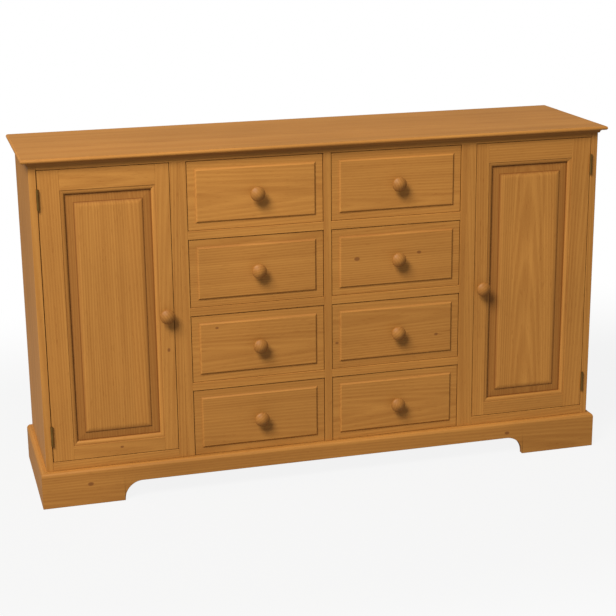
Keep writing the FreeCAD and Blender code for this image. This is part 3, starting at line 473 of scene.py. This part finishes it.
def surface(points, faces, order, strip=None, tone=0.0, knots=(), wax_and_painted_light=None, seed=None):
    """A closed surface with its grain. Order names the axes that run along, across and into the board.

    Grain = the point, measured from the middle of the board and in that order, plus a start along the tree."""
    points = np.asarray(points, float).reshape(-1, 3)
    wax_and_painted_light = np.zeros(len(points)) if wax_and_painted_light is None else np.asarray(wax_and_painted_light, float).reshape(-1)
    points, faces, wax_and_painted_light = welded(points, faces, wax_and_painted_light)
    if volume(points, faces) < 0:
        faces = [block[:, ::-1] for block in faces]
    axes = ["xyz".index(axis) for axis in order]
    middle = (points.min(axis=0) + points.max(axis=0)) / 2
    grain = (points - middle)[:, axes] * MM
    tree = seed if seed is not None else random.random() * TREE_SPAN
    marks = np.zeros((2, 3))
    for i, (spot, size) in enumerate(knots):
        marks[i] = (*((np.array(spot) - middle)[axes][:2] * MM), size * MM)
    grain[:, 0] += tree
    marks[:, 0] += tree
    return {"points": points, "faces": faces, "grain": grain, "wax_and_painted_light": wax_and_painted_light, "marks": marks,
            "board": (10.0 if strip is None else strip * MM, tree, tone)}


def finish(name, surfaces, body, nodes, material=waxed_pine, smooth=False):
    """Puts surfaces into one mesh, names it, parents it to the body it rides on, and hides the CAD nodes it replaces.
    """
    points = np.concatenate([s["points"] for s in surfaces]) * MM
    starts = np.cumsum([0] + [len(s["points"]) for s in surfaces])
    faces = [face for s, start in zip(surfaces, starts) for block in s["faces"] for face in (block + start).tolist()]
    mesh = bpy.data.meshes.new(name)
    mesh.from_pydata(points.tolist(), [], faces)
    counts = [len(s["points"]) for s in surfaces]
    vectors = {
        "grain": np.concatenate([s["grain"] for s in surfaces]),
        "board": np.repeat([s["board"] for s in surfaces], counts, axis=0),
        "knot": np.repeat([s["marks"][0] for s in surfaces], counts, axis=0),
        "knot_two": np.repeat([s["marks"][1] for s in surfaces], counts, axis=0),
    }
    for label, values in vectors.items():
        mesh.attributes.new(label, "FLOAT_VECTOR", "POINT").data.foreach_set("vector", values.ravel())
    wax_and_painted_light = np.concatenate([s["wax_and_painted_light"] for s in surfaces])
    mesh.attributes.new("wax_and_painted_light", "FLOAT", "POINT").data.foreach_set("value", wax_and_painted_light)
    mesh.polygons.foreach_set("use_smooth", np.full(len(mesh.polygons), smooth))
    mesh.materials.append(material)
    mesh.update()
    piece = bpy.data.objects.new(name, mesh)
    bpy.context.collection.objects.link(piece)
    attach(piece, body)
    if nodes:
        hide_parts(*nodes)
    return piece


# %% [markdown]
# ## Planed boards
#
# Sides, rails, stiles and strips are planed boards whose arrises have been eased with sandpaper and rubbed
# by years of dusting. Their arrises are also marked paler in colour, wear and a painted highlight together.
# A modifier could bevel a box, but the exact surface is simple: every point of a small sphere, carried out
# to the corner of the inner box that it faces. Two angles walk over that sphere.

# %% Soft board
ARRIS_STEPS = 4


def soft_board(low, high, order, arris=1.0, arris_wear_and_highlight=-0.25, **grain):
    """A box with round arrises: point = core corner + arris * (cos t cos p, cos t sin p, sin t), where p goes
    round in four quarters, one for each long edge, and t goes from one end to the other."""
    low, high = np.array(low, float), np.array(high, float)
    core_low, core_high = low + arris, high - arris
    turn = np.linspace(0, np.pi / 2, ARRIS_STEPS + 1)
    round_angle = (turn[None] + np.arange(4)[:, None] * np.pi / 2).ravel()
    quarter = np.repeat(np.arange(4), ARRIS_STEPS + 1)
    tilt = np.concatenate([turn - np.pi / 2, turn])
    top = np.repeat([False, True], ARRIS_STEPS + 1)
    t, p = np.meshgrid(tilt, round_angle, indexing="ij")
    x_high = np.isin(quarter, (0, 3))[None, :]
    y_high = np.isin(quarter, (0, 1))[None, :]
    core = np.stack([
        np.broadcast_to(np.where(x_high, core_high[0], core_low[0]), t.shape),
        np.broadcast_to(np.where(y_high, core_high[1], core_low[1]), t.shape),
        np.broadcast_to(np.where(top[:, None], core_high[2], core_low[2]), t.shape)], axis=-1)
    ball = np.stack([np.cos(t) * np.cos(p), np.cos(t) * np.sin(p), np.sin(t)], axis=-1)
    rows, columns = t.shape
    number = np.arange(rows * columns).reshape(rows, columns)
    caps = [number[0, ::ARRIS_STEPS + 1][None, ::-1], number[-1, ::ARRIS_STEPS + 1][None]]
    bent = (np.abs(ball) > 0.3).sum(axis=-1) > 1
    # By default the arrises are marked paler, a painted highlight with some wear in it. The back boards darken theirs
    # instead.
    wax_and_painted_light = np.where(bent, arris_wear_and_highlight, 0.0)
    return surface(core + arris * ball, [grid_faces(rows, columns, True)] + caps, order, wax_and_painted_light=wax_and_painted_light, **grain)


# %% Upright boards of the carcass
SHY = 0.15          # faces that CAD parts are let into stand back by this much, so that those parts show
HOUSING = 5.0       # how far the partitions go down into the floor
HEADER_LAP = 2.0
body_top = side_high[2]
header_low, header_high = corners("header_rail")
for hand, sign in (("left", -1), ("right", 1)):
    low, high = corners(f"{hand}_side")
    high[1] -= SHY
    inner = low if sign > 0 else high
    inner[0] += sign * SHY
    finish(f"{hand}_side_planed", [soft_board(low, high, "zyx", strip=120.0)], "carcass", [f"{hand}_side"])
for name in ("left", "centre", "right"):
    low, high = corners(f"{name}_partition")
    low[2] += HOUSING
    front = soft_board(low, (high[0], high[1], header_low[2]), "zyx", arris=0.8, strip=115.0)
    behind = soft_board((low[0], header_high[1], header_low[2] - HEADER_LAP), high, "zyx", arris=0.8, strip=115.0)
    finish(f"{name}_partition_planed", [front, behind], "carcass", [f"{name}_partition"])
print("height of the sides", round(body_top, 1), "mm")

# %% Strips, sills, header and rails
STRIP = 21.0
SILL = 23.0
bay_outer = side_low[0]
partition_outer = corners("right_partition")[1][0]
bay_inner = partition_outer + STRIP
strip_low, strip_high = corners("door_strips")
strips = []
for sign in (-1, 1):
    ends = sorted((sign * partition_outer, sign * bay_inner))
    strips.append(soft_board((ends[0], strip_low[1], strip_low[2]), (ends[1], strip_high[1], strip_high[2]),
                             "zxy", arris=0.8, tone=-0.02))
finish("door_strips_planed", strips, "carcass", ["door_strips"])

sills = [soft_board((min(sign * bay_inner, sign * bay_outer), FACE, strip_low[2]),
                    (max(sign * bay_inner, sign * bay_outer), strip_high[1], strip_low[2] + SILL), "xzy", arris=0.8)
         for sign in (-1, 1)]
finish("cupboard_sills_planed", sills, "carcass", ["cupboard_sills"])
finish("header_rail_planed", [soft_board(header_low, header_high, "xzy", arris=0.6)], "carcass", ["header_rail"])

RAIL_HEIGHT = 22.0
rail_low, rail_high = corners("drawer_rails")
centre_half = corners("centre_partition")[1][0]
partition_inner = corners("right_partition")[0][0]
rail_steps = np.linspace(rail_low[2], rail_high[2] - RAIL_HEIGHT, 3)
rails = [soft_board((min(sign * centre_half, sign * partition_inner), FACE, z),
                    (max(sign * centre_half, sign * partition_inner), rail_high[1], z + RAIL_HEIGHT), "xzy",
                    arris=1.2)
         for z in rail_steps for sign in (-1, 1)]
finish("drawer_rails_planed", rails, "carcass", ["drawer_rails"])

shelf_low, shelf_high = corners("shelves")
shelf_inner = partition_outer + 1.0
shelf_boards = [soft_board((min(sign * shelf_inner, sign * shelf_high[0]), shelf_low[1], shelf_low[2]),
                           (max(sign * shelf_inner, sign * shelf_high[0]), shelf_high[1], shelf_high[2]), "xyz",
                           strip=110.0) for sign in (-1, 1)]
finish("shelves_planed", shelf_boards, "carcass", ["shelves"])
print("rails at", rail_steps.round(1).tolist())

# %% [markdown]
# ## Floor and back
#
# The cupboards stand on one floor board, glued up from strips and waxed like the rest. The back is twelve
# upright boards of bare pine. Their half laps close the back to light, and leave a fine groove between the
# boards, which shows from behind. Here one thin sheet stands for the laps.

# %% Floor board and back boards
BACK_COUNT = 12
LAP_GAP = 0.3
LAP_HALF = 1.0
floor_low, floor_high = corners("floor_board")
finish("floor_board_planed", [soft_board(floor_low, floor_high, "xyz", arris=0.8, strip=105.0, tone=-0.03)],
       "carcass", ["floor_board"])

back_low, back_high = corners("back_boards")
back_edges = np.linspace(back_low[0], back_high[0], BACK_COUNT + 1)
back_pieces = [soft_board((a + LAP_GAP, back_low[1], back_low[2]), (b - LAP_GAP, back_high[1], back_high[2]),
                          "zxy", arris=1.0, arris_wear_and_highlight=0.2, tone=random.uniform(-0.05, 0.05))
               for a, b in zip(back_edges[:-1], back_edges[1:])]
lap_middle = (back_low[1] + back_high[1]) / 2
back_pieces.append(soft_board((back_low[0] + LAP_HALF, lap_middle - LAP_HALF, back_low[2] + LAP_HALF),
                              (back_high[0] - LAP_HALF, lap_middle + LAP_HALF, back_high[2] - LAP_HALF),
                              "zxy", arris=0.4, tone=-0.2))
finish("back_boards_lapped", back_pieces, "carcass", ["back_boards"], material=bare_pine_sawn)
print("back boards", BACK_COUNT, "pitch", round(float(back_edges[1] - back_edges[0]), 1), "mm")

# %% [markdown]
# ## Profiles that go round a rectangle
#
# The top, the drawer fronts and the door panels are all one idea: a moulding run round a rectangle, with
# mitred corners. A profile is a list of (how far in from the edge, how high) pairs, and the surface is that
# list carried round the four corners. Only a few dozen points give a crisp mitre, which a sculpted bevel
# wouldn't.

# %% Run round a rectangle
def run_round(rect, profile, flat, order, keep_back=False, wax_and_painted_light=None, **grain):
    """Point (row, corner) = the corner of the rectangle moved in by the row's inset, at the row's height.

    Rect is (a0, a1, b0, b1), profile rows are (inset, height), and flat puts (a, b, height) into x, y, z."""
    profile = np.array(profile, float)
    a0, a1, b0, b1 = rect
    inset, height = profile[:, 0], profile[:, 1]
    back = np.zeros_like(inset) if keep_back else inset
    a = np.stack([a0 + inset, a1 - inset, a1 - inset, a0 + inset], axis=1)
    b = np.stack([b0 + inset, b0 + inset, b1 - back, b1 - back], axis=1)
    h = np.repeat(height[:, None], 4, axis=1)
    points = flat(a, b, h)
    number = np.arange(len(profile) * 4).reshape(-1, 4)
    faces = [grid_faces(len(profile), 4, True), number[:1, ::-1], number[-1:]]
    rows = np.zeros(len(profile)) if wax_and_painted_light is None else np.array(wax_and_painted_light, float)
    return surface(points, faces, order, wax_and_painted_light=np.repeat(rows[:, None], 4, axis=1), **grain)


def lying(a, b, h):
    """A rectangle seen from above: x, y and height."""
    return np.stack([a, b, h], axis=-1)


def standing(a, b, h):
    """A rectangle seen from the front: x, z, and depth behind the carcass face."""
    return np.stack([a, FACE + h, b], axis=-1)


def arc(centre, radius, start, end, steps=6):
    """Points on a circle, from one angle in degrees to another."""
    angle = np.radians(np.linspace(start, end, steps + 1))
    return [(centre[0] + radius * c, centre[1] + radius * s) for c, s in zip(np.cos(angle), np.sin(angle))]


# %% [markdown]
# ## The top
#
# The top is glued up from boards about 100 mm wide. Its front and ends carry a small moulding cut with one
# plane: a bullnose, a step and a cove. The back edge, which goes against the wall, stays square.

# %% Top board
NOSE = 5.0
COVE_STEP = 2.5
COVE = 8.0
top, under = top_high[2], top_low[2]
shoulder = top - 2 * NOSE
edge = (arc((NOSE + COVE_STEP, under), COVE, 0, 90) + [(NOSE, shoulder)]
        + arc((NOSE, top - NOSE), NOSE, 270, 90, 10))
# The cove and the step under the nose are darkened: painted shade under the overhang.
edge_painted_shade = [0.2] * 3 + [0.4] * 4 + [0.6] + [0.2] + [0.0] * 10
top_surface = run_round((top_low[0], top_high[0], top_low[1], top_high[1]), edge, lying, "xyz", keep_back=True,
                        wax_and_painted_light=edge_painted_shade, strip=98.0, tone=0.03)
finish("top_board_moulded", [top_surface], "carcass", ["top_board"])
print("top edge rows", len(edge))

# %% [markdown]
# ## The drawer fronts
#
# Each front has a flat border, a steep short slope and a raised field. The foot of the slope is darkened,
# painted shade that draws a fine dark line round the field, and the field's own arris is marked paler, a
# painted highlight.

# %% Drawer fronts
BORDER = 18.5
SLOPE = 4.5
SET_BACK = 2.0
FIELD = -2.0
THICK = 20.0
EASE = 0.9
front_profile = ([(EASE, THICK), (0.0, THICK - EASE)]
                 + arc((EASE, SET_BACK + EASE), EASE, 180, 270, 3)
                 + [(BORDER - 1.2, SET_BACK), (BORDER, SET_BACK), (BORDER + 0.4, SET_BACK - 0.4)]
                 + [(BORDER + SLOPE - 0.6, FIELD + 0.5), (BORDER + SLOPE, FIELD + 0.05),
                    (BORDER + SLOPE + 0.8, FIELD)])
# The foot of the slope is darkened, painted shade, and the arrises of the border and the field are marked paler, a
# painted highlight.
front_shade_and_highlight = [0, 0] + [0.1, -0.1, -0.1, 0] + [0.0, 0.2, 0.25] + [0.0, -0.1, 0.0]
ROW_PAINTED_SHADE = (0.04, 0.0, -0.01, -0.07)     # from the top row down: painted shade, darker towards the bottom
drawer_knots = {
    ("left", 3): [((-294.7, 0, 434.6), 3.0)],
    ("right", 2): [((77.4, 0, 585.9), 5.0), ((246.2, 0, 591.3), 4.0)],
    ("right", 3): [((23.8, 0, 363.3), 3.2), ((296.4, 0, 363.6), 3.5)],
}
for hand in ("left", "right"):
    for number in (1, 2, 3, 4):
        node = f"{hand}_drawer_{number}_front"
        low, high = corners(node)
        rect = (low[0] + SHY, high[0] - SHY, low[2], high[2])
        front = run_round(rect, front_profile, standing, "xzy", wax_and_painted_light=front_shade_and_highlight, tone=ROW_PAINTED_SHADE[number - 1],
                          knots=drawer_knots.get((hand, number), ()))
        finish(f"{hand}_drawer_{number}_fielded_front", [front], f"{hand}_drawer_{number}", [node])
print("drawer front", (high - low).round(1).tolist())

# %% [markdown]
# ## The doors
#
# A door is two stiles and two rails round a loose panel. The moulding is worked on the inside edges of the
# frame: a small step, then a quarter-round that drops to the panel. Each length is its own surface that
# ends in mitres, so its grain runs the way its board does. The panel has a low bevel, a step, and a field
# with soft shoulders. The quirk, the foot of the quarter-round and the foot of the step are darkened:
# painted shade.

# %% Moulded lengths
LOCK_STILE, HINGE_STILE = 34.5, 52.5
TOP_RAIL = 51.0
BOTTOM_RAIL = 36.5
MOULD = 11.0
MOULD_DEPTH = 7.0
QUIRK = 1.2
DOOR_THICK = 20.0
GROOVE = (8.1, 14.1)
GROOVE_IN = 2.0

round_part = [(QUIRK + (MOULD - QUIRK) * math.sin(t), QUIRK + (MOULD_DEPTH - QUIRK) * (1 - math.cos(t)))
              for t in np.linspace(0, math.pi / 2, 9)]
mould_section = ([(-0.5, QUIRK), (0.4, QUIRK)] + round_part + [(MOULD, GROOVE[0])]
                 + [(GROOVE_IN, GROOVE[0]), (GROOVE_IN, GROOVE[1]), (MOULD, GROOVE[1])]
                 + [(MOULD, DOOR_THICK - 1.0), (MOULD - 0.9, DOOR_THICK - SHY), (-0.5, DOOR_THICK - SHY)])
# The quirk and the foot of the quarter-round are darkened: painted shade. The hidden groove is darkened too.
mould_painted_shade = [0.4, 0.4] + [0.25, 0.1, 0.0, 0.0, 0.0, 0.05, 0.15, 0.3, 0.6] + [0.6] + [0.6] * 3 + [0.0] * 3


def moulded_length(sight, side, order, **grain):
    """One mitred length of the moulding: row 0 and row 1 are its section at the two corners of the sight rectangle.

    Sight is (x0, x1, z0, z1), and side counts its edges from the bottom one, anticlockwise."""
    x0, x1, z0, z1 = sight
    a = np.array(mould_section)[:, 0]
    ring_x = np.stack([x0 + a, x1 - a, x1 - a, x0 + a])
    ring_z = np.stack([z0 + a, z0 + a, z1 - a, z1 - a])
    pair = [side, (side + 1) % 4]
    depth = FACE + np.array(mould_section)[:, 1]
    points = np.stack([ring_x[pair], np.broadcast_to(depth, (2, len(a))), ring_z[pair]], axis=-1)
    number = np.arange(2 * len(a)).reshape(2, -1)
    faces = [grid_faces(2, len(a), True), number[:1, ::-1], number[1:]]
    return surface(points, faces, order, wax_and_painted_light=np.broadcast_to(mould_painted_shade, (2, len(a))), **grain)


# %% Panel profile
PANEL_IN = 3.0
PANEL_LIP = MOULD + 1.0
BEVEL = 20.0
TONGUE = (8.2, 14.0)
RISE = 1.5
PANEL_STEP = 1.5
SHOULDER = 13.0
CROWN = 2.5
PANEL_BACK = 2.0
raised = PANEL_LIP + BEVEL
step_foot = TONGUE[0] - RISE
step_top = step_foot - PANEL_STEP
field_curve = [(raised + SHOULDER * share, step_top - CROWN * (1 - (1 - share) ** 1.8))
               for share in np.linspace(0.04, 1.0, 7)]
panel_profile = ([(PANEL_LIP + 0.8, TONGUE[1] + PANEL_BACK), (PANEL_LIP, TONGUE[1] + PANEL_BACK - 0.8),
                  (PANEL_LIP, TONGUE[1]), (PANEL_IN, TONGUE[1]), (PANEL_IN, TONGUE[0]), (PANEL_LIP, TONGUE[0]),
                  (PANEL_LIP + 2.5, TONGUE[0] - 0.15), (raised - 1.0, step_foot + 0.08), (raised, step_foot)]
                 + field_curve)
# The foot of the step is darkened most, and the bevel under the moulding a little: painted shade.
panel_painted_shade = [0, 0, 0.4, 0.4, 0.8, 0.8, 0.4, 0.35, 1.0] + [0.6, 0.3] + [0.12, 0.03, 0.0, 0.0, 0.0]
panel_profile = [(inset - PANEL_IN, height) for inset, height in panel_profile]

# %% Door pieces
frame_knots = {
    ("left", "lock_stile"): [((-419.4, 0, 387.5), 3.5), ((-453.0, 0, 243.0), 4.0)],
    ("left", "bottom_rail"): [((-549.1, 0, 141.0), 3.0)],
}
for hand, sign in (("left", -1), ("right", 1)):
    body = f"{hand}_door"
    lock_low, lock_high = corners(f"{hand}_door_lock_stile")
    hinge_low, hinge_high = corners(f"{hand}_door_hinge_stile")
    x = sorted((sign * min(abs(lock_low[0]), abs(lock_high[0])), sign * max(abs(hinge_low[0]), abs(hinge_high[0]))))
    z = (lock_low[2], lock_high[2])
    back = FACE + DOOR_THICK
    lock_at_left = sign > 0
    stiles = (LOCK_STILE, HINGE_STILE) if lock_at_left else (HINGE_STILE, LOCK_STILE)
    sight = (x[0] + stiles[0], x[1] - stiles[1], z[0] + BOTTOM_RAIL, z[1] - TOP_RAIL)
    boards = {
        "left": ((x[0], FACE, z[0]), (sight[0], back, z[1])),
        "right": ((sight[1], FACE, z[0]), (x[1], back, z[1])),
        "bottom_rail": ((sight[0], FACE, z[0]), (sight[1], back, sight[2])),
        "top_rail": ((sight[0], FACE, sight[3]), (sight[1], back, z[1])),
    }
    names = {"left": "lock_stile" if lock_at_left else "hinge_stile",
             "right": "hinge_stile" if lock_at_left else "lock_stile",
             "bottom_rail": "bottom_rail", "top_rail": "top_rail"}
    edges = {"bottom_rail": 0, "right": 1, "top_rail": 2, "left": 3}
    for key_name, (low, high) in boards.items():
        low, high = np.array(low), np.array(high)
        name = names[key_name]
        if name == "hinge_stile":
            if lock_at_left:
                high[0] -= SHY
            else:
                low[0] += SHY
        order = "xzy" if "rail" in name else "zxy"
        knots = frame_knots.get((hand, name), ())
        tree_number = random.random() * TREE_SPAN
        # The bottom rail is darker: painted shade low down.
        tone = -0.06 if name == "bottom_rail" else -0.01
        plank = soft_board(low, high, order, arris=0.7, knots=knots, seed=tree_number, tone=tone)
        length = moulded_length(sight, edges[key_name], order, seed=tree_number, tone=tone)
        finish(f"{hand}_door_{name}_moulded", [plank, length], body, [f"{hand}_door_{name}"])
    low, high = corners(f"{hand}_door_panel")
    panel = run_round((low[0], high[0], low[2], high[2]), panel_profile, standing, "zxy", wax_and_painted_light=panel_painted_shade,
                      strip=88.0)
    finish(f"{hand}_door_panel_fielded", [panel], body, [f"{hand}_door_panel"])
print("sight", [round(v, 1) for v in sight])

# %% [markdown]
# ## The knobs
#
# The knobs are turned from pine on a lathe: a small foot, a hollow neck and a mushroom head. A turned piece
# is one profile spun round an axis. The profile is a smooth curve through a few points that a turner would
# mark with callipers, and the grain runs along the axis, so the head shows end grain.

# %% Turned knobs
TURN_STEPS = 48
CURVE_STEPS = 6
knob_marks = np.array([
    (9.6, -0.6), (10.5, 0.4), (10.4, 1.6), (9.2, 2.6), (8.2, 4.6), (7.6, 7.6), (8.1, 10.4), (10.4, 12.8),
    (14.5, 14.3), (17.6, 15.6), (18.85, 17.6), (18.9, 19.8), (18.1, 21.7), (15.6, 23.9), (11.9, 26.3),
    (7.6, 28.5), (3.5, 29.7), (0.0, 30.0)])


def smooth_through(marks, steps):
    """A Catmull-Rom curve: each stretch blends four neighbouring marks with cubic weights of t."""
    ends = np.concatenate([2 * marks[:1] - marks[1:2], marks, 2 * marks[-1:] - marks[-2:-1]])
    t = np.linspace(0, 1, steps, endpoint=False)[:, None, None]
    a, b, c, d = (ends[i:len(ends) - 3 + i][None] for i in range(4))
    curve = 0.5 * (2 * b + (c - a) * t + (2 * a - 5 * b + 4 * c - d) * t ** 2
                   + (3 * b - a - 3 * c + d) * t ** 3)
    return np.concatenate([curve.transpose(1, 0, 2).reshape(-1, 2), marks[-1:]])


def turned_knob(x, y, z):
    """Point (row, step) = (x + r cos p, y - h, z + r sin p), for the row's radius r and height h."""
    outline = smooth_through(knob_marks, CURVE_STEPS)
    outline[:, 0] = np.maximum(outline[:, 0], 0.0)
    outline[-1, 0] = 0.0
    outline = np.concatenate([[(0.0, outline[0, 1])], outline])
    angle = np.arange(TURN_STEPS) * 2 * np.pi / TURN_STEPS
    radius, height = outline[:, :1], outline[:, 1:]
    points = np.stack([x + radius * np.cos(angle), np.broadcast_to(y - height, (len(outline), TURN_STEPS)),
                       z + radius * np.sin(angle)], axis=-1)
    # Darker towards the foot and the neck, lighter on the crown: painted shade under the head.
    wax_and_painted_light = np.interp(outline[:, 1], [-1, 0.5, 2.5, 8, 13, 16, 30], [0.9, 0.75, 0.65, 0.6, 0.5, 0.4, 0.15])
    wax_and_painted_light = np.repeat(wax_and_painted_light[:, None], TURN_STEPS, axis=1)
    return surface(points, [grid_faces(len(outline), TURN_STEPS, True)], "yxz", wax_and_painted_light=wax_and_painted_light, tone=-0.09)


knob_bodies = [(f"{hand}_door_knob", f"{hand}_door") for hand in ("left", "right")]
knob_bodies += [(f"{hand}_drawer_{n}_knob", f"{hand}_drawer_{n}") for hand in ("left", "right") for n in (1, 2, 3, 4)]
for node, body in knob_bodies:
    low, high = corners(node)
    seat = low[1] + knob_marks[-1, 1]
    knob = turned_knob((low[0] + high[0]) / 2, seat, (low[2] + high[2]) / 2)
    finish(f"{node}_turned", [knob], body, [node], smooth=True)
print("knobs", len(knob_bodies))

# %% [markdown]
# ## The plinth
#
# The front board is sawn into two feet with a long low arch between them, and its top edge is rounded over.
# The surface is a section carried along the board: at each station the section's foot follows the arch. The
# ends of the front board and the end boards meet in a mitre, and there the section is cut at 45 degrees.

# %% Plinth
ROUND = 10.0
FOOT = 210.0
ARCH = 50.0
ARCH_BEND = 46.0
BOARD = 15.0
SAWN_EASE = 1.2
plinth_high = corners("plinth_front")[1]
PLINTH_TOP = plinth_high[2]
arch_half = plinth_high[0] - FOOT
bend = [(arch_half - ARCH_BEND + ARCH_BEND * math.cos(t), ARCH - ARCH_BEND + ARCH_BEND * math.sin(t))
        for t in np.linspace(0.04, math.pi / 2, 15)]
half_path = [(CARCASS_END, 0.0), (arch_half + 0.4, 0.0)] + bend
path = np.array([(-x, z) for x, z in half_path] + [(x, z) for x, z in reversed(half_path)])


def plinth_board():
    """Station (i, j): x and the foot's height come from the path along the arch, and y and the rest of the height
    from the section. The arris at the foot leans away from the path by ease * (1 - sin t, 1 - cos t)."""
    step = np.gradient(path, axis=0)
    normal = np.stack([step[:, 1], -step[:, 0]], axis=1)
    normal /= np.linalg.norm(normal, axis=1, keepdims=True)
    normal[0] = normal[1] = (0.0, -1.0)
    normal[-1] = normal[-2] = (0.0, -1.0)
    t = np.linspace(0, np.pi / 2, 4)
    away = SAWN_EASE * (1 - np.sin(t[::-1]))
    foot = path[:, None] - away[None, :, None] * normal[:, None]
    foot_y = -BOARD + SAWN_EASE * (1 - np.cos(t[::-1]))
    rounding = arc((-(BOARD - ROUND), PLINTH_TOP - ROUND), ROUND, 180, 90, 8)
    top_y = np.array([y for y, _ in rounding] + [0.0])
    top_z = np.array([z for _, z in rounding] + [PLINTH_TOP])
    stations = len(path)
    x = np.concatenate([path[:, :1], foot[:, :, 0], np.repeat(path[:, :1], len(top_y), axis=1)], axis=1)
    z = np.concatenate([path[:, 1:], foot[:, :, 1], np.repeat(top_z[None], stations, axis=0)], axis=1)
    y = np.broadcast_to(np.concatenate([[0.0], foot_y, top_y]), x.shape)
    x = x.copy()
    x[0] = -(CARCASS_END - y[0])
    x[-1] = CARCASS_END - y[-1]
    points = np.stack([x, FACE + y, z], axis=-1)
    number = np.arange(points.shape[0] * points.shape[1]).reshape(points.shape[:2])
    faces = [grid_faces(*points.shape[:2], True), number[:1, ::-1], number[-1:]]
    # The underside and the corner under the carcass are darkened, painted shade, and the round-over is marked paler,
    # a painted highlight. The tone makes the whole board darker: painted shade low down.
    wax_and_painted_light = np.concatenate([[0.3], np.full(len(foot_y), 0.1), np.linspace(0.0, -0.15, len(top_y) - 1), [0.5]])
    return surface(points, faces, "xzy", wax_and_painted_light=np.broadcast_to(wax_and_painted_light, x.shape),
                   knots=[((-635.2, 0, 55.5), 5.0), ((501.9, 0, 65.2), 4.5)], tone=-0.09)


def plinth_return(sign):
    """An end board: its section in x and z is carried back from the mitre, where y = -x past the carcass end."""
    rounding = arc((BOARD - ROUND, PLINTH_TOP - ROUND), ROUND, 0, 90, 8)
    out = np.array([0.0, BOARD - 0.8, BOARD] + [x for x, _ in rounding] + [0.0])
    z = np.array([0.0, 0.0, 0.8] + [height for _, height in rounding] + [PLINTH_TOP])
    start = FACE - out
    end = np.full_like(out, side_high[1])
    x = sign * (CARCASS_END + out)
    points = np.stack([np.stack([x, start, z], axis=-1), np.stack([x, end, z], axis=-1)])
    number = np.arange(2 * len(out)).reshape(2, -1)
    faces = [grid_faces(2, len(out), True), number[:1, ::-1], number[1:]]
    # The tone makes the end boards darker: painted shade low down.
    return surface(points, faces, "yzx", tone=-0.09)


finish("plinth_front_sawn", [plinth_board()], "carcass", ["plinth_front"])
finish("plinth_ends_sawn", [plinth_return(-1), plinth_return(1)], "carcass", ["plinth_ends"])
print("plinth stations", len(path))

# %% [markdown]
# ## The parts that keep their CAD shape
#
# Drawer boxes, runners, stops, battens and blocks are bare pine that was never waxed. Hinges and their
# screws are brass, and the catches are plated steel. Their shapes are right already, so they only change
# their material.

# %% Materials for the CAD parts
brass_parts = {"frame_hinges", "left_door_fittings", "right_door_fittings"}
for name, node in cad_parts.items():
    if name in brass_parts:
        chosen = dull_brass
    elif name == "door_catches":
        chosen = plated_steel
    else:
        chosen = bare_pine
    node.data.materials.clear()
    node.data.materials.append(chosen)
print("CAD nodes with new materials", len(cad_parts))
